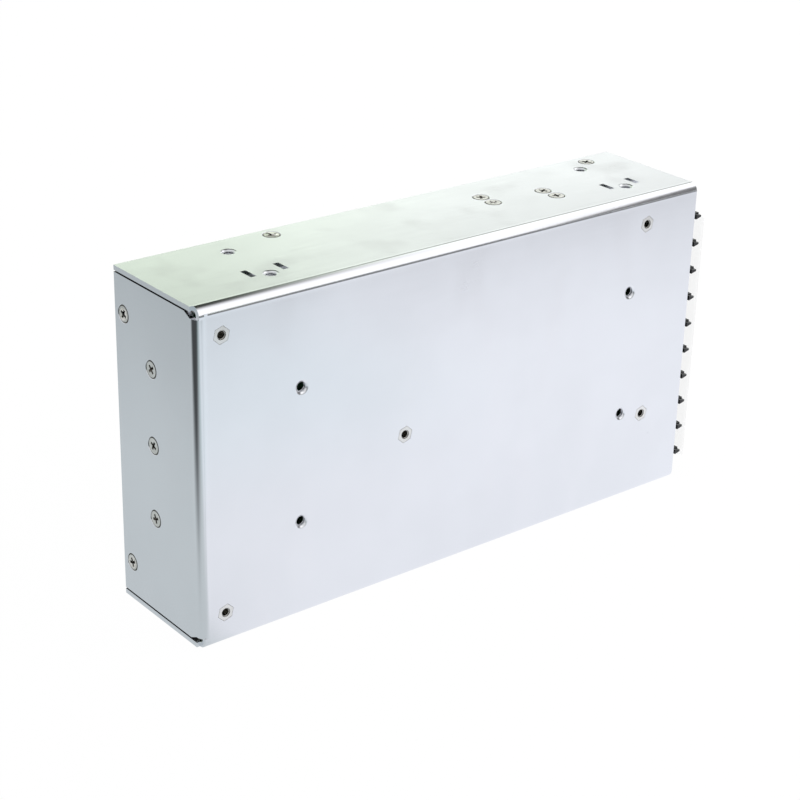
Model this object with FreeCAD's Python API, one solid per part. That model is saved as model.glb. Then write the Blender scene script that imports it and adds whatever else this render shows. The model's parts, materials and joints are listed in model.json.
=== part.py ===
import FreeCAD, Part
import math
import os

# Mesh case switching power supply, standing on its lower side flange.
# Model frame, mm: X runs from the rear wall to the terminals, Y from the base plate's outer face to the
# cover, Z up across the width. The kept solids are centred over the footprint.
V = FreeCAD.Vector

# Case
caseLength = 190.4
caseWidth = 105.0
caseDepth = 42.0
sheet = 1.5
bendRadius = 2.7
flangeSetback = 0.2
wallSlit = 0.5
reliefLength = 1.1
reliefDepth = 2.9
cornerPlay = 0.7
notchRun = 5.8
overshoot = 1.0
edgeTolerance = 0.01

# Screw threads are plain cylinders: a bore at its core, a shank a little smaller
coreRadius = 1.35
shankRadius = 1.30
passRadius = 1.60
fitGap = 0.05
flatHeadRadius = 2.8
flatHeadDepth = 1.25
flatScrewLength = 5.0
panHeadRadius = 2.7
panHeadHeight = 2.0
panRimShare = 0.45
panTopShare = 0.72
recessRadius = 1.35
recessDepth = 1.3
recessArm = 0.75
recessTaper = 0.5

# Formed M4 holes: pattern sizes, and their distance from the rear wall and the cover plane
baseHoleInset = 34.8
baseHoleSpacingX = 128.5
baseHoleSpacingZ = 42.5
sideHoleInset = 32.2
sideHoleSpacingX = 137.3
sideHoleSpacingY = 21.0
sideHoleDrop = 9.6
formedRadius = 1.65
formedLeadRadius = 2.4
formedLeadDepth = 0.45
formedCollarRadius = 2.8
formedCollarHeight = 2.1

# Slots beside the side flanges' formed holes
slotOffset = 5.5
slotRise = 3.0
slotLength = 5.4
slotWidth = 1.9

# Mesh cover
coverSheet = 1.0
coverBend = 1.6
coverBendLap = 0.4
coverGap = 0.15
coverBlockGap = 4.1
lipDepth = 6.0
lipTabDepth = 8.5
lipTabHalf = 3.2
frontLipDepth = 13.0
coverScrewRear = 50.6
coverScrewFront = 13.6
coverScrewLower = 12.4
coverScrewUpper = 13.4
coverScrewDrop = 4.65
coverCollarRadius = 1.9
coverCollarHeight = 1.0
meshAcross = 6.4
meshPitch = 8.6
meshMargin = 6.0

# Board, its standoffs and the insulating sheet under it
upperRearStandoff = (8.1, 9.1)
lowerRearStandoff = (8.2, 10.1)
upperFrontStandoff = (21.6, 9.4)
lowerFrontStandoff = (17.6, 28.9)
middleStandoff = (0.381, 0.464)
standoffHeight = 5.0
standoffAcross = 4.8
standoffBarrelRadius = 2.1
standoffHeadDepth = 1.1
standoffTurn = 13.0
boardThickness = 1.6
boardRearGap = 2.1
boardFrontSetback = 4.8
boardLowerGap = 2.7
boardUpperGap = 2.5
boardScrewLength = 6.0
filmThickness = 0.4
filmMargin = 4.2
filmWallHeight = 26.0
filmHoleClearance = 0.8
filmBlockGap = 2.0
filmBend = 2.2

# Terminal block and its clear cover
cellPitch = 9.5
finThickness = 1.6
rowInset = 2.4
trimmerBay = 12.4
terminalOverhang = 10.8
finTop = 16.9
finCorner = 3.0
slabSetback = 2.3
slabHeight = 5.4
blockBackHeight = 11.9
blockBackThickness = 1.5
blockReach = 14.7
hingeDrop = 2.4
pinRadius = 1.1
pinLength = 1.5
hingeClearance = 0.10
plateThickness = 0.8
plateSideGap = 0.65
plateBackGap = 0.3
plateFrontReach = 0.4
terminalScrewReach = 9.3
terminalScrewRadius = 1.95
terminalHeadInset = 0.2
terminalHeadHeight = 2.6
terminalScrewDepth = 3.6
washerSideGap = 0.45
washerThickness = 1.0
flapThickness = 1.2
flapLift = 0.4
flapFrontGap = 0.5
flapBend = 2.0
flapLipDrop = 1.2
flapRearGap = 0.2
flapEndGap = 0.25
earThickness = 1.2
earRadius = 2.5
earReach = 8.0
lipNotch = 2.0
lipNotchDrop = 3.0

# Output trimmer and indicator light
trimmerSetback = 13.6
trimmerDrop = 6.3
trimmerSide = 6.6
trimmerHeight = 4.6
trimmerChamfer = 0.5
rotorRadius = 2.1
rotorSink = 1.2
rotorProud = 0.5
rotorSlot = 0.7
rotorSlotDepth = 0.6
rotorSlotShare = 0.8
rotorEndGap = 0.1
lightSetback = 7.8
lightDrop = 6.6
lightRadius = 1.5
lightHeight = 5.2
lightRimRadius = 1.9
lightRimHeight = 1.0

# Power devices on the walls
rearDeviceShares = (0.3125, 0.534, 0.758)
rearDeviceRise = 15.3
padThickness = 0.4
padHalf = 6.6
padLow = 13.4
padHigh = 4.4
packageHalf = 5.0
packageBody = 9.2
packageThickness = 4.5
tabThickness = 1.3
tabTop = 2.7
tabHoleToBody = 3.5
bodyLap = 1.0
leadPitch = 2.54
leadHalf = 0.45
leadThickness = 0.5
leadOffset = 2.6
nutAcross = 5.5
nutHeight = 2.4
nutTurn = 30.0
deviceScrewLength = 6.8
spreaderSetbacks = (45.6, 24.9)
spreaderScrewDrops = (11.45, 5.6)
spreaderScrewRises = (8.8, 14.75)
spreaderScrewShifts = (0.15, -0.15)
spreaderHalf = 7.2
spreaderThickness = 6.0
spreaderChamfer = 0.6
spreaderRise = 4.4
spreaderLipGap = 1.5
spreaderScrewLength = 4.6
boreRunout = 0.2
rectifierRise = 17.5
rectifierScrewLength = 3.8

# Wound parts: place as shares of the board, then ring radii and height
boostPlace = (0.1525, 0.5816)
boostRing = (8.5, 15.5, 12.0)
outputPlace = (0.684, 0.69)
outputRing = (8.0, 14.5, 12.0)
linePlace = (0.606, 0.179)
lineRing = (6.5, 12.0, 9.0)
wireBuild = 1.7
ringClearance = 0.25
ringBase = 2.0
ringBaseRim = 0.6
ringChamfer = 1.2
wireRoundShare = 0.6

# Main transformer
transformerPlace = (0.4715, 0.6436)
coreHalfLength = 20.0
coreLeg = 6.0
coreHalfWidth = 7.0
coreYoke = 5.5
coreChamfer = 0.8
transformerHeadroom = 4.3
bobbinBase = 2.6
bobbinWall = 1.0
bobbinFlange = 1.0
bobbinHalf = 15.0
bobbinClearance = 0.25
windingInset = 0.8
windingCorner = 3.0

# Auxiliary transformer
auxiliaryPlace = (0.285, 0.8915)
auxiliaryHalf = (8.0, 6.6)
auxiliaryHeight = 14.0
auxiliaryYoke = 3.4
auxiliaryCoreHalf = 3.0
auxiliaryLeg = 2.2
auxiliaryLift = 2.0
auxiliaryClearance = 0.2

# Round and boxed parts: places as shares of the board, then radius or half sizes and height
bulkPlaces = ((0.241, 0.163), (0.386, 0.163))
bulkRadius = 12.5
bulkHeadroom = 2.9
outputCapPlaces = ((0.814, 0.535), (0.814, 0.659), (0.814, 0.783),
                   (0.876, 0.473), (0.876, 0.597), (0.876, 0.721))
outputCapRadius = 5.0
outputCapHeight = 20.0
smallCapPlaces = ((0.08, 0.2045), (0.132, 0.132), (0.132, 0.256), (0.552, 0.845))
smallCapRadius = 4.0
smallCapHeight = 11.5
capChamfer = 0.7
lineCapPlaces = ((0.739, 0.189), (0.759, 0.3285))
lineCapHalf = (9.0, 4.0)
lineCapHeight = 15.0
filmCapPlaces = ((0.116, 0.8915), (0.194, 0.8915), (0.614, 0.478))
filmCapHalf = (6.0, 3.0)
filmCapHeight = 10.5
boxChamfer = 0.6
safetyCapPlaces = ((0.687, 0.442), (0.744, 0.442))
safetyCapRadius = 4.2
safetyCapThickness = 3.4
varistorPlace = (0.829, 0.2045)
varistorRadius = 5.6
varistorThickness = 4.0
thermistorPlace = (0.897, 0.096)
thermistorRadius = 6.2
thermistorThickness = 5.0
discLift = 2.5
discLeadShare = 0.5
leadRadius = 0.4
fusePlace = (0.7956, 0.065)
fuseLength = 20.0
fuseRadius = 2.5
fuseCapLength = 5.0
fuseCapWall = 0.25
fuseLift = 4.6
clipThickness = 0.5
clipLength = 4.0
clipRiseShare = 0.8
bridgePlace = (0.495, 0.1374)
bridgeHalf = 11.0
bridgeThickness = 3.6
bridgeHeight = 18.5
bridgeLift = 3.0
bridgeCorner = 3.0
bridgeLeadPitch = 5.06
bridgeLeadHalf = (0.4, 0.6)
controlPlace = (0.505, 0.375)
controlHalf = 20.0
controlHeight = 22.0
controlThickness = 1.2
chipPlaces = ((-11.0, 9.0, 5.0), (2.5, 12.0, 4.0), (13.0, 8.0, 3.0))
chipHeight = 4.0
chipThickness = 1.6
couplerPlaces = ((0.645, 0.354), (0.679, 0.354), (0.36, 0.349))
couplerHalf = (2.3, 3.25)
couplerHeight = 3.6
resistorPlaces = ((0.383, 0.928), (0.461, 0.928), (0.251, 0.38))
resistorRadius = 2.3
resistorLength = 11.0
resistorLift = 1.0
resistorLeadReach = 1.2

# Derived levels and places
boardLow = sheet + standoffHeight
boardTop = boardLow + boardThickness
flangeEdge = caseDepth - flangeSetback
upperInner = caseWidth - sheet
coverInner = caseDepth - coverSheet
lipFoot = caseDepth - lipDepth
finFrontX = caseLength + terminalOverhang
hingeX = finFrontX - blockReach
finTopY = boardTop + finTop
hingeY = finTopY - hingeDrop
finRearX = hingeX - hingeDrop
slabTop = boardTop + slabHeight
slabFrontX = finFrontX - slabSetback
blockLowZ = sheet + rowInset
cells = int((upperInner - trimmerBay - blockLowZ - finThickness) / cellPitch)
finZ = [blockLowZ + finThickness / 2.0 + i * cellPitch for i in range(cells + 1)]
cellZ = [(finZ[i] + finZ[i + 1]) / 2.0 for i in range(cells)]
blockHighZ = finZ[-1] + finThickness / 2.0
cellHalf = (cellPitch - finThickness) / 2.0
washerHalf = cellHalf - washerSideGap
plateHalf = cellHalf - plateSideGap
terminalHeadRadius = washerHalf - terminalHeadInset
terminalScrewX = finFrontX - terminalScrewReach
flapInnerY = finTopY + flapLift
flapOuterY = flapInnerY + flapThickness
flapFrontX = finFrontX + flapFrontGap + flapThickness
overallLength = flapFrontX
coverFrontX = finRearX - coverBlockGap
boardStartX = sheet + boardRearGap
boardEndX = finFrontX - boardFrontSetback
boardLowZ = sheet + boardLowerGap
boardHighZ = upperInner - boardUpperGap
baseHolesX = (baseHoleInset, baseHoleInset + baseHoleSpacingX)
baseHolesZ = ((caseWidth - baseHoleSpacingZ) / 2.0, (caseWidth + baseHoleSpacingZ) / 2.0)
sideHolesX = (sideHoleInset, sideHoleInset + sideHoleSpacingX)
sideHolesY = (caseDepth - sideHoleDrop - sideHoleSpacingY, caseDepth - sideHoleDrop)
slotCentreY = sideHolesY[0] + slotRise
coverScrewsX = (coverScrewRear, caseLength - coverScrewFront)
coverScrewsZ = (coverScrewLower, caseWidth - coverScrewUpper)
coverScrewY = caseDepth - coverScrewDrop
standoffPlaces = (
    (upperRearStandoff[0], caseWidth - upperRearStandoff[1]),
    lowerRearStandoff,
    (caseLength - upperFrontStandoff[0], caseWidth - upperFrontStandoff[1]),
    (caseLength * middleStandoff[0], caseWidth * middleStandoff[1]),
    (caseLength - lowerFrontStandoff[0], lowerFrontStandoff[1]),
)
trimmerX = finFrontX - trimmerSetback
trimmerZ = upperInner - trimmerDrop
lightX = finFrontX - lightSetback
lightZ = upperInner - lightDrop
rearDeviceZ = [caseWidth * share for share in rearDeviceShares]
rearDeviceY = boardTop + rearDeviceRise
rectifierY = boardTop + rectifierRise
spreaderLow = boardTop + spreaderRise
spreaderHigh = lipFoot - spreaderLipGap
spreaderPlaces = [sideHolesX[1] - setback for setback in spreaderSetbacks]
spreaderScrews = [
    [(spreaderPlaces[0], spreaderHigh - drop) for drop in spreaderScrewDrops],
    [(spreaderPlaces[1] + shift, boardTop + rise)
     for shift, rise in zip(spreaderScrewShifts, spreaderScrewRises)],
]
bulkHeight = coverInner - boardTop - bulkHeadroom
windowHeight = coverInner - boardTop - bobbinBase - 2 * coreYoke - transformerHeadroom


def spot(place):
    """A place on the board from its shares along and across it."""
    along, across = place
    return (boardStartX + along * (boardEndX - boardStartX),
            boardLowZ + across * (boardHighZ - boardLowZ))


def spots(places):
    return [spot(place) for place in places]


boostCentre = spot(boostPlace)
outputCentre = spot(outputPlace)
lineCentre = spot(linePlace)
transformerCentre = spot(transformerPlace)
auxiliaryCentre = spot(auxiliaryPlace)
controlCentre = spot(controlPlace)


def keep(name, shape):
    """Centres a finished sub-part over the footprint and writes it."""
    kept = shape.copy()
    kept.translate(V(-overallLength / 2.0, -caseDepth / 2.0, 0.0))
    kept.exportStep("parts/" + name + ".step")
    print(name, len(kept.Solids), round(kept.Volume, 1), kept.isValid())


def group(solids):
    return Part.makeCompound(solids)


def block(x0, x1, y0, y1, z0, z1):
    return Part.makeBox(x1 - x0, y1 - y0, z1 - z0, V(x0, y0, z0))


def standing(x, z, halfX, halfZ, low, high):
    """A box on the board, centred at x, z."""
    return block(x - halfX, x + halfX, low, high, z - halfZ, z + halfZ)


def rod(radius, start, end):
    return Part.makeCylinder(radius, (end - start).Length, start, end - start)


def taper(radiusStart, radiusEnd, start, end):
    return Part.makeCone(radiusStart, radiusEnd, (end - start).Length, start, end - start)


def fused(shapes):
    joined = shapes[0].multiFuse(shapes[1:]) if len(shapes) > 1 else shapes[0]
    return joined.removeSplitter()


def prism(sides, acrossFlats, start, end, turn=0.0):
    """A regular prism from start to end along a main axis."""
    axis = (end - start).normalize()
    u = V(0, 0, 1) if abs(axis.z) < 0.5 else V(1, 0, 0)
    w = axis.cross(u)
    reach = acrossFlats / 2.0 / math.cos(math.pi / sides)
    points = []
    for i in range(sides):
        angle = math.radians(turn) + 2.0 * math.pi * i / sides
        points.append(start + u * (reach * math.cos(angle)) + w * (reach * math.sin(angle)))
    return Part.Face(Part.makePolygon(points + points[:1])).extrude(end - start)


def foldedFace(corners, thickness, radius, place):
    """Section of a sheet folded square at each inner corner, as a face. place maps its plane to space."""
    flat = [V(a, b, 0) for a, b in corners]
    runs = [(flat[i + 1] - flat[i]).normalize() for i in range(len(flat) - 1)]
    outer, inner = [flat[0]], [flat[0] + runs[1] * thickness]
    arcs = []
    for i in range(1, len(flat) - 1):
        before, after = runs[i - 1], runs[i]
        centre = flat[i] - before * radius + after * radius
        diagonal = (before - after).normalize()
        for line, r in ((outer, radius), (inner, radius - thickness)):
            line.append(centre - after * r)
            line.append(centre + before * r)
            arcs.append((line[-2], centre + diagonal * r, line[-1]))
    outer.append(flat[-1])
    inner.append(flat[-1] - runs[-2] * thickness)
    edges = []
    for line in (outer, inner):
        for i in range(0, len(line) - 1, 2):
            edges.append(Part.makeLine(place(line[i]), place(line[i + 1])))
    for start, middle, end in arcs:
        edges.append(Part.Arc(place(start), place(middle), place(end)).toShape())
    edges.append(Part.makeLine(place(outer[0]), place(inner[0])))
    edges.append(Part.makeLine(place(outer[-1]), place(inner[-1])))
    return Part.Face(Part.Wire(Part.__sortEdges__(edges)))


def onZY(x):
    return lambda p: V(x, p.y, p.x)


def onXY(z):
    return lambda p: V(p.x, p.y, z)


def plateWithHoles(outline, holes, direction):
    """A flat plate cut by closed wires, pulled to its thickness."""
    face = Part.makeFace([outline] + holes, "Part::FaceMakerBullseye")
    return face.extrude(direction)


def loop(points):
    return Part.makePolygon(points + points[:1])


def circleWire(radius, centre, axis):
    return Part.Wire(Part.makeCircle(radius, centre, axis))


def formedHole(mouth, inward):
    """A pressed M4 hole, as what to add and what to cut: its inner collar, and its bore with a lead-in."""
    collarEnd = mouth + inward * (sheet + formedCollarHeight)
    collar = rod(formedCollarRadius, mouth + inward * (sheet / 2.0), collarEnd)
    lead = taper(formedLeadRadius, formedRadius, mouth, mouth + inward * formedLeadDepth)
    bore = rod(formedRadius, mouth, collarEnd)
    return collar, fused([lead, bore])


def flatSeat(mouth, inward, wall):
    """Countersunk hole for a flat head, through a wall."""
    boreRadius = coreRadius + 2 * fitGap
    head = taper(flatHeadRadius + fitGap, boreRadius, mouth, mouth + inward * (flatHeadDepth + fitGap))
    return fused([head, rod(boreRadius, mouth, mouth + inward * wall)])


def crossRecess(mouth, inward):
    """Cross recess of a driver, as a tapered cut."""
    depth = inward * recessDepth
    side = V(0, 0, 1) if abs(inward.z) < 0.5 else V(1, 0, 0)
    other = inward.cross(side)
    arms = []
    for u, w in ((side, other), (other, side)):
        reach, half = u * recessRadius, w * (recessArm / 2.0)
        offsets = [half * -1.0 - reach, reach - half, reach + half, half - reach]
        rim = loop([mouth + p for p in offsets])
        foot = loop([mouth + depth + p * recessTaper for p in offsets])
        arms.append(Part.makeLoft([rim, foot], True, True))
    return fused(arms)


def flatScrew(mouth, inward, length, shank=shankRadius):
    head = taper(flatHeadRadius, shank, mouth, mouth + inward * flatHeadDepth)
    body = fused([head, rod(shank, mouth + inward * (flatHeadDepth / 2.0), mouth + inward * length)])
    return body.cut(crossRecess(mouth, inward))


def panScrew(seat, inward, length, shank=shankRadius):
    """A pan head screw, its head on the side away from inward."""
    top = seat - inward * panHeadHeight
    rim = seat - inward * (panHeadHeight * (1.0 - panRimShare))
    head = fused([rod(panHeadRadius, seat, rim), taper(panHeadRadius, panHeadRadius * panTopShare, rim, top)])
    body = fused([head, rod(shank, seat, seat + inward * length)])
    return body.cut(crossRecess(top, inward))


def cornerNotch(edge, inside):
    """What the rear wall loses where it meets a side flange: square under the bend, then sloping away."""
    foot = edge + inside * (bendRadius + cornerPlay)
    top = edge + inside * (sheet + wallSlit)
    out = edge - inside * overshoot
    outline = loop([V(-overshoot, -overshoot, foot), V(-overshoot, reliefDepth, foot),
                    V(-overshoot, notchRun, top), V(-overshoot, notchRun, out), V(-overshoot, -overshoot, out)])
    return Part.Face(outline).extrude(V(bendRadius + overshoot, 0, 0))


def chassis():
    """One sheet: base plate, side flanges and rear wall, with their bends, reliefs and holes."""
    channel = foldedFace(((0, flangeEdge), (0, 0), (caseWidth, 0), (caseWidth, flangeEdge)),
                         sheet, bendRadius, onZY(reliefLength)).extrude(V(caseLength - reliefLength, 0, 0))
    wallLow, wallHigh = sheet + wallSlit, upperInner - wallSlit
    wall = foldedFace(((0, flangeEdge), (0, 0), (bendRadius + reliefLength, 0)),
                      sheet, bendRadius, onXY(wallLow)).extrude(V(0, 0, wallHigh - wallLow))
    corner = bendRadius + cornerPlay
    pieces = [channel.cut(block(0, bendRadius, -overshoot, reliefDepth, corner, caseWidth - corner))]
    for z in (0.0, upperInner):
        pieces.append(block(0, reliefLength, reliefDepth, flangeEdge, z, z + sheet))
    pieces.append(wall.cut(group([cornerNotch(0.0, 1), cornerNotch(caseWidth, -1)])))
    body = fused(pieces)
    add, cut = [], []
    for x in baseHolesX:
        for z in baseHolesZ:
            collar, bore = formedHole(V(x, 0, z), V(0, 1, 0))
            add.append(collar)
            cut.append(bore)
    for z, inward in ((0.0, V(0, 0, 1)), (caseWidth, V(0, 0, -1))):
        for x in sideHolesX:
            for y in sideHolesY:
                collar, bore = formedHole(V(x, y, z), inward)
                add.append(collar)
                cut.append(bore)
            for side in (-1, 1):
                centre = x + side * slotOffset
                depth = sorted((z - inward.z * overshoot, z + inward.z * (sheet + overshoot)))
                cut.append(block(centre - slotWidth / 2, centre + slotWidth / 2, slotCentreY - slotLength / 2,
                                 slotCentreY + slotLength / 2, depth[0], depth[1]))
        for x in coverScrewsX:
            cut.append(flatSeat(V(x, coverScrewY, z), inward, sheet))
    for x, y in spreaderScrews[0] + spreaderScrews[1]:
        cut.append(flatSeat(V(x, y, caseWidth), V(0, 0, -1), sheet))
    for z in coverScrewsZ:
        cut.append(flatSeat(V(0, coverScrewY, z), V(1, 0, 0), sheet))
    for z in rearDeviceZ:
        cut.append(flatSeat(V(0, rearDeviceY, z), V(1, 0, 0), sheet))
    for x, z in standoffPlaces:
        cut.append(prism(6, standoffAcross, V(x, 0, z), V(x, standoffHeadDepth, z), standoffTurn))
        cut.append(rod(standoffBarrelRadius + fitGap, V(x, 0, z), V(x, sheet, z)))
    return fused([body] + add).cut(group(cut)).removeSplitter()


def standoffs():
    """Self-clinching standoffs: hexagon head flush with the outer face, round barrel up to the board."""
    made = []
    for x, z in standoffPlaces:
        head = prism(6, standoffAcross, V(x, 0, z), V(x, standoffHeadDepth, z), standoffTurn)
        barrel = rod(standoffBarrelRadius, V(x, standoffHeadDepth / 2, z), V(x, boardLow, z))
        made.append(fused([head, barrel]).cut(rod(coreRadius, V(x, 0, z), V(x, boardLow, z))))
    return group(made)


def meshWires():
    """Rows of hexagon holes, every second row set half a pitch along."""
    low = V(sheet + coverGap + meshMargin, 0, sheet + coverGap + meshMargin)
    high = V(coverFrontX - meshMargin, 0, upperInner - coverGap - meshMargin)
    rowStep = meshPitch * math.sqrt(3.0) / 2.0
    rows = int((high.z - low.z - meshAcross) / rowStep) + 1
    columns = int((high.x - low.x - meshAcross - meshPitch / 2.0) / meshPitch) + 1
    startZ = (low.z + high.z - (rows - 1) * rowStep) / 2.0
    startX = (low.x + high.x - (columns - 0.5) * meshPitch) / 2.0
    reach = meshAcross / math.sqrt(3.0)
    wires = []
    for row in range(rows):
        for column in range(columns):
            x = startX + (column + 0.5 * (row % 2)) * meshPitch
            z = startZ + row * rowStep
            corners = []
            for i in range(6):
                angle = math.pi / 3.0 * (i + 0.5)
                corners.append(V(x + reach * math.cos(angle), coverInner, z + reach * math.sin(angle)))
            wires.append(loop(corners))
    return wires


def meshCover():
    """Perforated lid with folded lips that sit inside the chassis walls."""
    low, high = sheet + coverGap, upperInner - coverGap
    rear, front = sheet + coverGap, coverFrontX
    a, b = rear + coverBend, front - coverBend
    c, d = low + coverBend, high - coverBend
    corners = [V(a, coverInner, c), V(b, coverInner, c), V(b, coverInner, d), V(a, coverInner, d)]
    plate = plateWithHoles(loop(corners), meshWires(), V(0, coverSheet, 0))
    tabFoot = caseDepth - lipTabDepth
    lap = coverBend + coverBendLap

    def tapped(outer, inward):
        collarEnd = outer + inward * (coverSheet + coverCollarHeight)
        pieces.append(rod(coverCollarRadius, outer + inward * (coverSheet / 2.0), collarEnd))
        cut.append(rod(coreRadius, outer, collarEnd))

    pieces, cut = [], []
    for edge, inside in ((low, 1), (high, -1)):
        profile = ((edge, lipFoot), (edge, caseDepth), (edge + inside * lap, caseDepth))
        strip = foldedFace(profile, coverSheet, coverBend, onZY(a))
        pieces.append(strip.extrude(V(b - a, 0, 0)))
        face = sorted((edge, edge + inside * coverSheet))
        for x in coverScrewsX:
            tabStart, tabEnd = max(a, x - lipTabHalf), min(b, x + lipTabHalf)
            pieces.append(block(tabStart, tabEnd, tabFoot, coverScrewY, face[0], face[1]))
            tapped(V(x, coverScrewY, edge), V(0, 0, inside))
    for edge, inside, foot in ((rear, 1, lipFoot), (front, -1, caseDepth - frontLipDepth)):
        profile = ((edge, foot), (edge, caseDepth), (edge + inside * lap, caseDepth))
        strip = foldedFace(profile, coverSheet, coverBend, onXY(c))
        pieces.append(strip.extrude(V(0, 0, d - c)))
    for z in coverScrewsZ:
        pieces.append(block(rear, rear + coverSheet, tabFoot, coverScrewY, z - lipTabHalf, z + lipTabHalf))
        tapped(V(rear, coverScrewY, z), V(1, 0, 0))
    return fused([plate] + pieces).cut(group(cut)).removeSplitter()


def insulatingSheet():
    """Thin film between the base plate and the board, folded up along the lower side."""
    start, end = filmMargin, finRearX - filmBlockGap
    low, high = sheet + 2 * filmThickness, caseWidth - filmMargin
    film = foldedFace(((low, filmWallHeight), (low, sheet), (high, sheet)),
                      filmThickness, filmBend, onZY(start)).extrude(V(end - start, 0, 0))
    cut = []
    for x, z in standoffPlaces:
        cut.append(rod(standoffBarrelRadius + filmHoleClearance, V(x, 0, z), V(x, boardLow, z)))
    holeRadius = formedCollarRadius + filmHoleClearance
    for x in baseHolesX:
        for z in baseHolesZ:
            cut.append(rod(holeRadius, V(x, 0, z), V(x, boardLow, z)))
    for x in sideHolesX:
        cut.append(rod(holeRadius, V(x, sideHolesY[0], 0), V(x, sideHolesY[0], boardLow)))
    return film.cut(group(cut))


def mainBoard():
    corners = [V(boardStartX, boardLow, boardLowZ), V(boardEndX, boardLow, boardLowZ),
               V(boardEndX, boardLow, boardHighZ), V(boardStartX, boardLow, boardHighZ)]
    holes = [circleWire(passRadius, V(x, boardLow, z), V(0, 1, 0)) for x, z in standoffPlaces]
    return plateWithHoles(loop(corners), holes, V(0, boardThickness, 0))


def flangeScrews():
    """The cover's countersunk screws, on both side flanges and the rear wall."""
    made = []
    for x in coverScrewsX:
        made.append(flatScrew(V(x, coverScrewY, 0), V(0, 0, 1), flatScrewLength))
        made.append(flatScrew(V(x, coverScrewY, caseWidth), V(0, 0, -1), flatScrewLength))
    for z in coverScrewsZ:
        made.append(flatScrew(V(0, coverScrewY, z), V(1, 0, 0), flatScrewLength))
    return group(made)


def deviceScrews():
    """Countersunk screws of the rear wall devices and the heat spreaders."""
    made = [flatScrew(V(0, rearDeviceY, z), V(1, 0, 0), deviceScrewLength) for z in rearDeviceZ]
    for x, y in spreaderScrews[0] + spreaderScrews[1]:
        made.append(flatScrew(V(x, y, caseWidth), V(0, 0, -1), spreaderScrewLength))
    return group(made)


def deviceNuts():
    made = []
    nutStart = sheet + padThickness + tabThickness
    for z in rearDeviceZ:
        start, end = V(nutStart, rearDeviceY, z), V(nutStart + nutHeight, rearDeviceY, z)
        made.append(prism(6, nutAcross, start, end, nutTurn).cut(rod(coreRadius, start, end)))
    return group(made)


def package(seat, out, across, holeRadius):
    """A tabbed power device. Its hole is centred at seat on the mounting face, out points off the wall."""
    top = seat.y + tabTop
    bodyTop = seat.y - tabHoleToBody
    bodyFoot = bodyTop - packageBody

    def slab(depthStart, depthEnd, y0, y1, halfWidth, shift=0.0):
        near, far = seat + out * depthStart, seat + out * depthEnd
        left, right = across * (shift - halfWidth), across * (shift + halfWidth)
        points = [near + left, near + right, far + left, far + right]
        xs, zs = [p.x for p in points], [p.z for p in points]
        return block(min(xs), max(xs), y0, y1, min(zs), max(zs))

    pieces = [slab(0, tabThickness, bodyTop - bodyLap, top, packageHalf),
              slab(0, packageThickness, bodyFoot, bodyTop, packageHalf)]
    leadBack = leadOffset + leadThickness
    for i in (-1, 0, 1):
        pieces.append(slab(leadOffset, leadBack, boardTop, bodyFoot + bodyLap, leadHalf, i * leadPitch))
    return fused(pieces).cut(rod(holeRadius, seat, seat + out * packageThickness))


def rearDevices():
    made = []
    for z in rearDeviceZ:
        seat = V(sheet + padThickness, rearDeviceY, z)
        made.append(package(seat, V(1, 0, 0), V(0, 0, 1), passRadius))
    return group(made)


def thermalPads():
    """Soft pads between the walls and what is screwed to them."""
    made = []
    padFace = sheet + padThickness
    for z in rearDeviceZ:
        pad = block(sheet, padFace, rearDeviceY - padLow, rearDeviceY + padHigh, z - padHalf, z + padHalf)
        made.append(pad.cut(rod(passRadius, V(sheet, rearDeviceY, z), V(padFace, rearDeviceY, z))))
    for centre, screws in zip(spreaderPlaces, spreaderScrews):
        pad = block(centre - spreaderHalf, centre + spreaderHalf, spreaderLow, spreaderHigh,
                    upperInner - padThickness, upperInner)
        holes = [rod(passRadius, V(x, y, upperInner - padThickness), V(x, y, upperInner)) for x, y in screws]
        made.append(pad.cut(group(holes)))
    return group(made)


def heatSpreaders():
    """Aluminium blocks on the upper side flange, tapped from both faces."""
    made = []
    outer = upperInner - padThickness
    inner = outer - spreaderThickness
    for centre, screws in zip(spreaderPlaces, spreaderScrews):
        body = block(centre - spreaderHalf, centre + spreaderHalf, spreaderLow, spreaderHigh, inner, outer)
        rim = [e for e in body.Edges
               if e.BoundBox.YLength < edgeTolerance and abs(e.BoundBox.ZMax - inner) < edgeTolerance]
        body = body.makeChamfer(spreaderChamfer, rim)
        cut = [rod(coreRadius, V(x, y, outer), V(x, y, caseWidth - spreaderScrewLength - boreRunout))
               for x, y in screws]
        bore = V(centre, rectifierY, inner)
        cut.append(rod(coreRadius, bore, bore + V(0, 0, rectifierScrewLength - tabThickness + boreRunout)))
        made.append(body.cut(group(cut)))
    return group(made)


def rectifiers():
    inner = upperInner - padThickness - spreaderThickness
    made = [package(V(x, rectifierY, inner), V(0, 0, -1), V(1, 0, 0), passRadius) for x in spreaderPlaces]
    return group(made)


def innerScrews():
    """Pan head screws: five hold the board, two hold the rectifiers."""
    made = [panScrew(V(x, boardTop, z), V(0, -1, 0), boardScrewLength) for x, z in standoffPlaces]
    face = upperInner - padThickness - spreaderThickness - tabThickness
    for x in spreaderPlaces:
        made.append(panScrew(V(x, rectifierY, face), V(0, 0, 1), rectifierScrewLength))
    return group(made)


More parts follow.
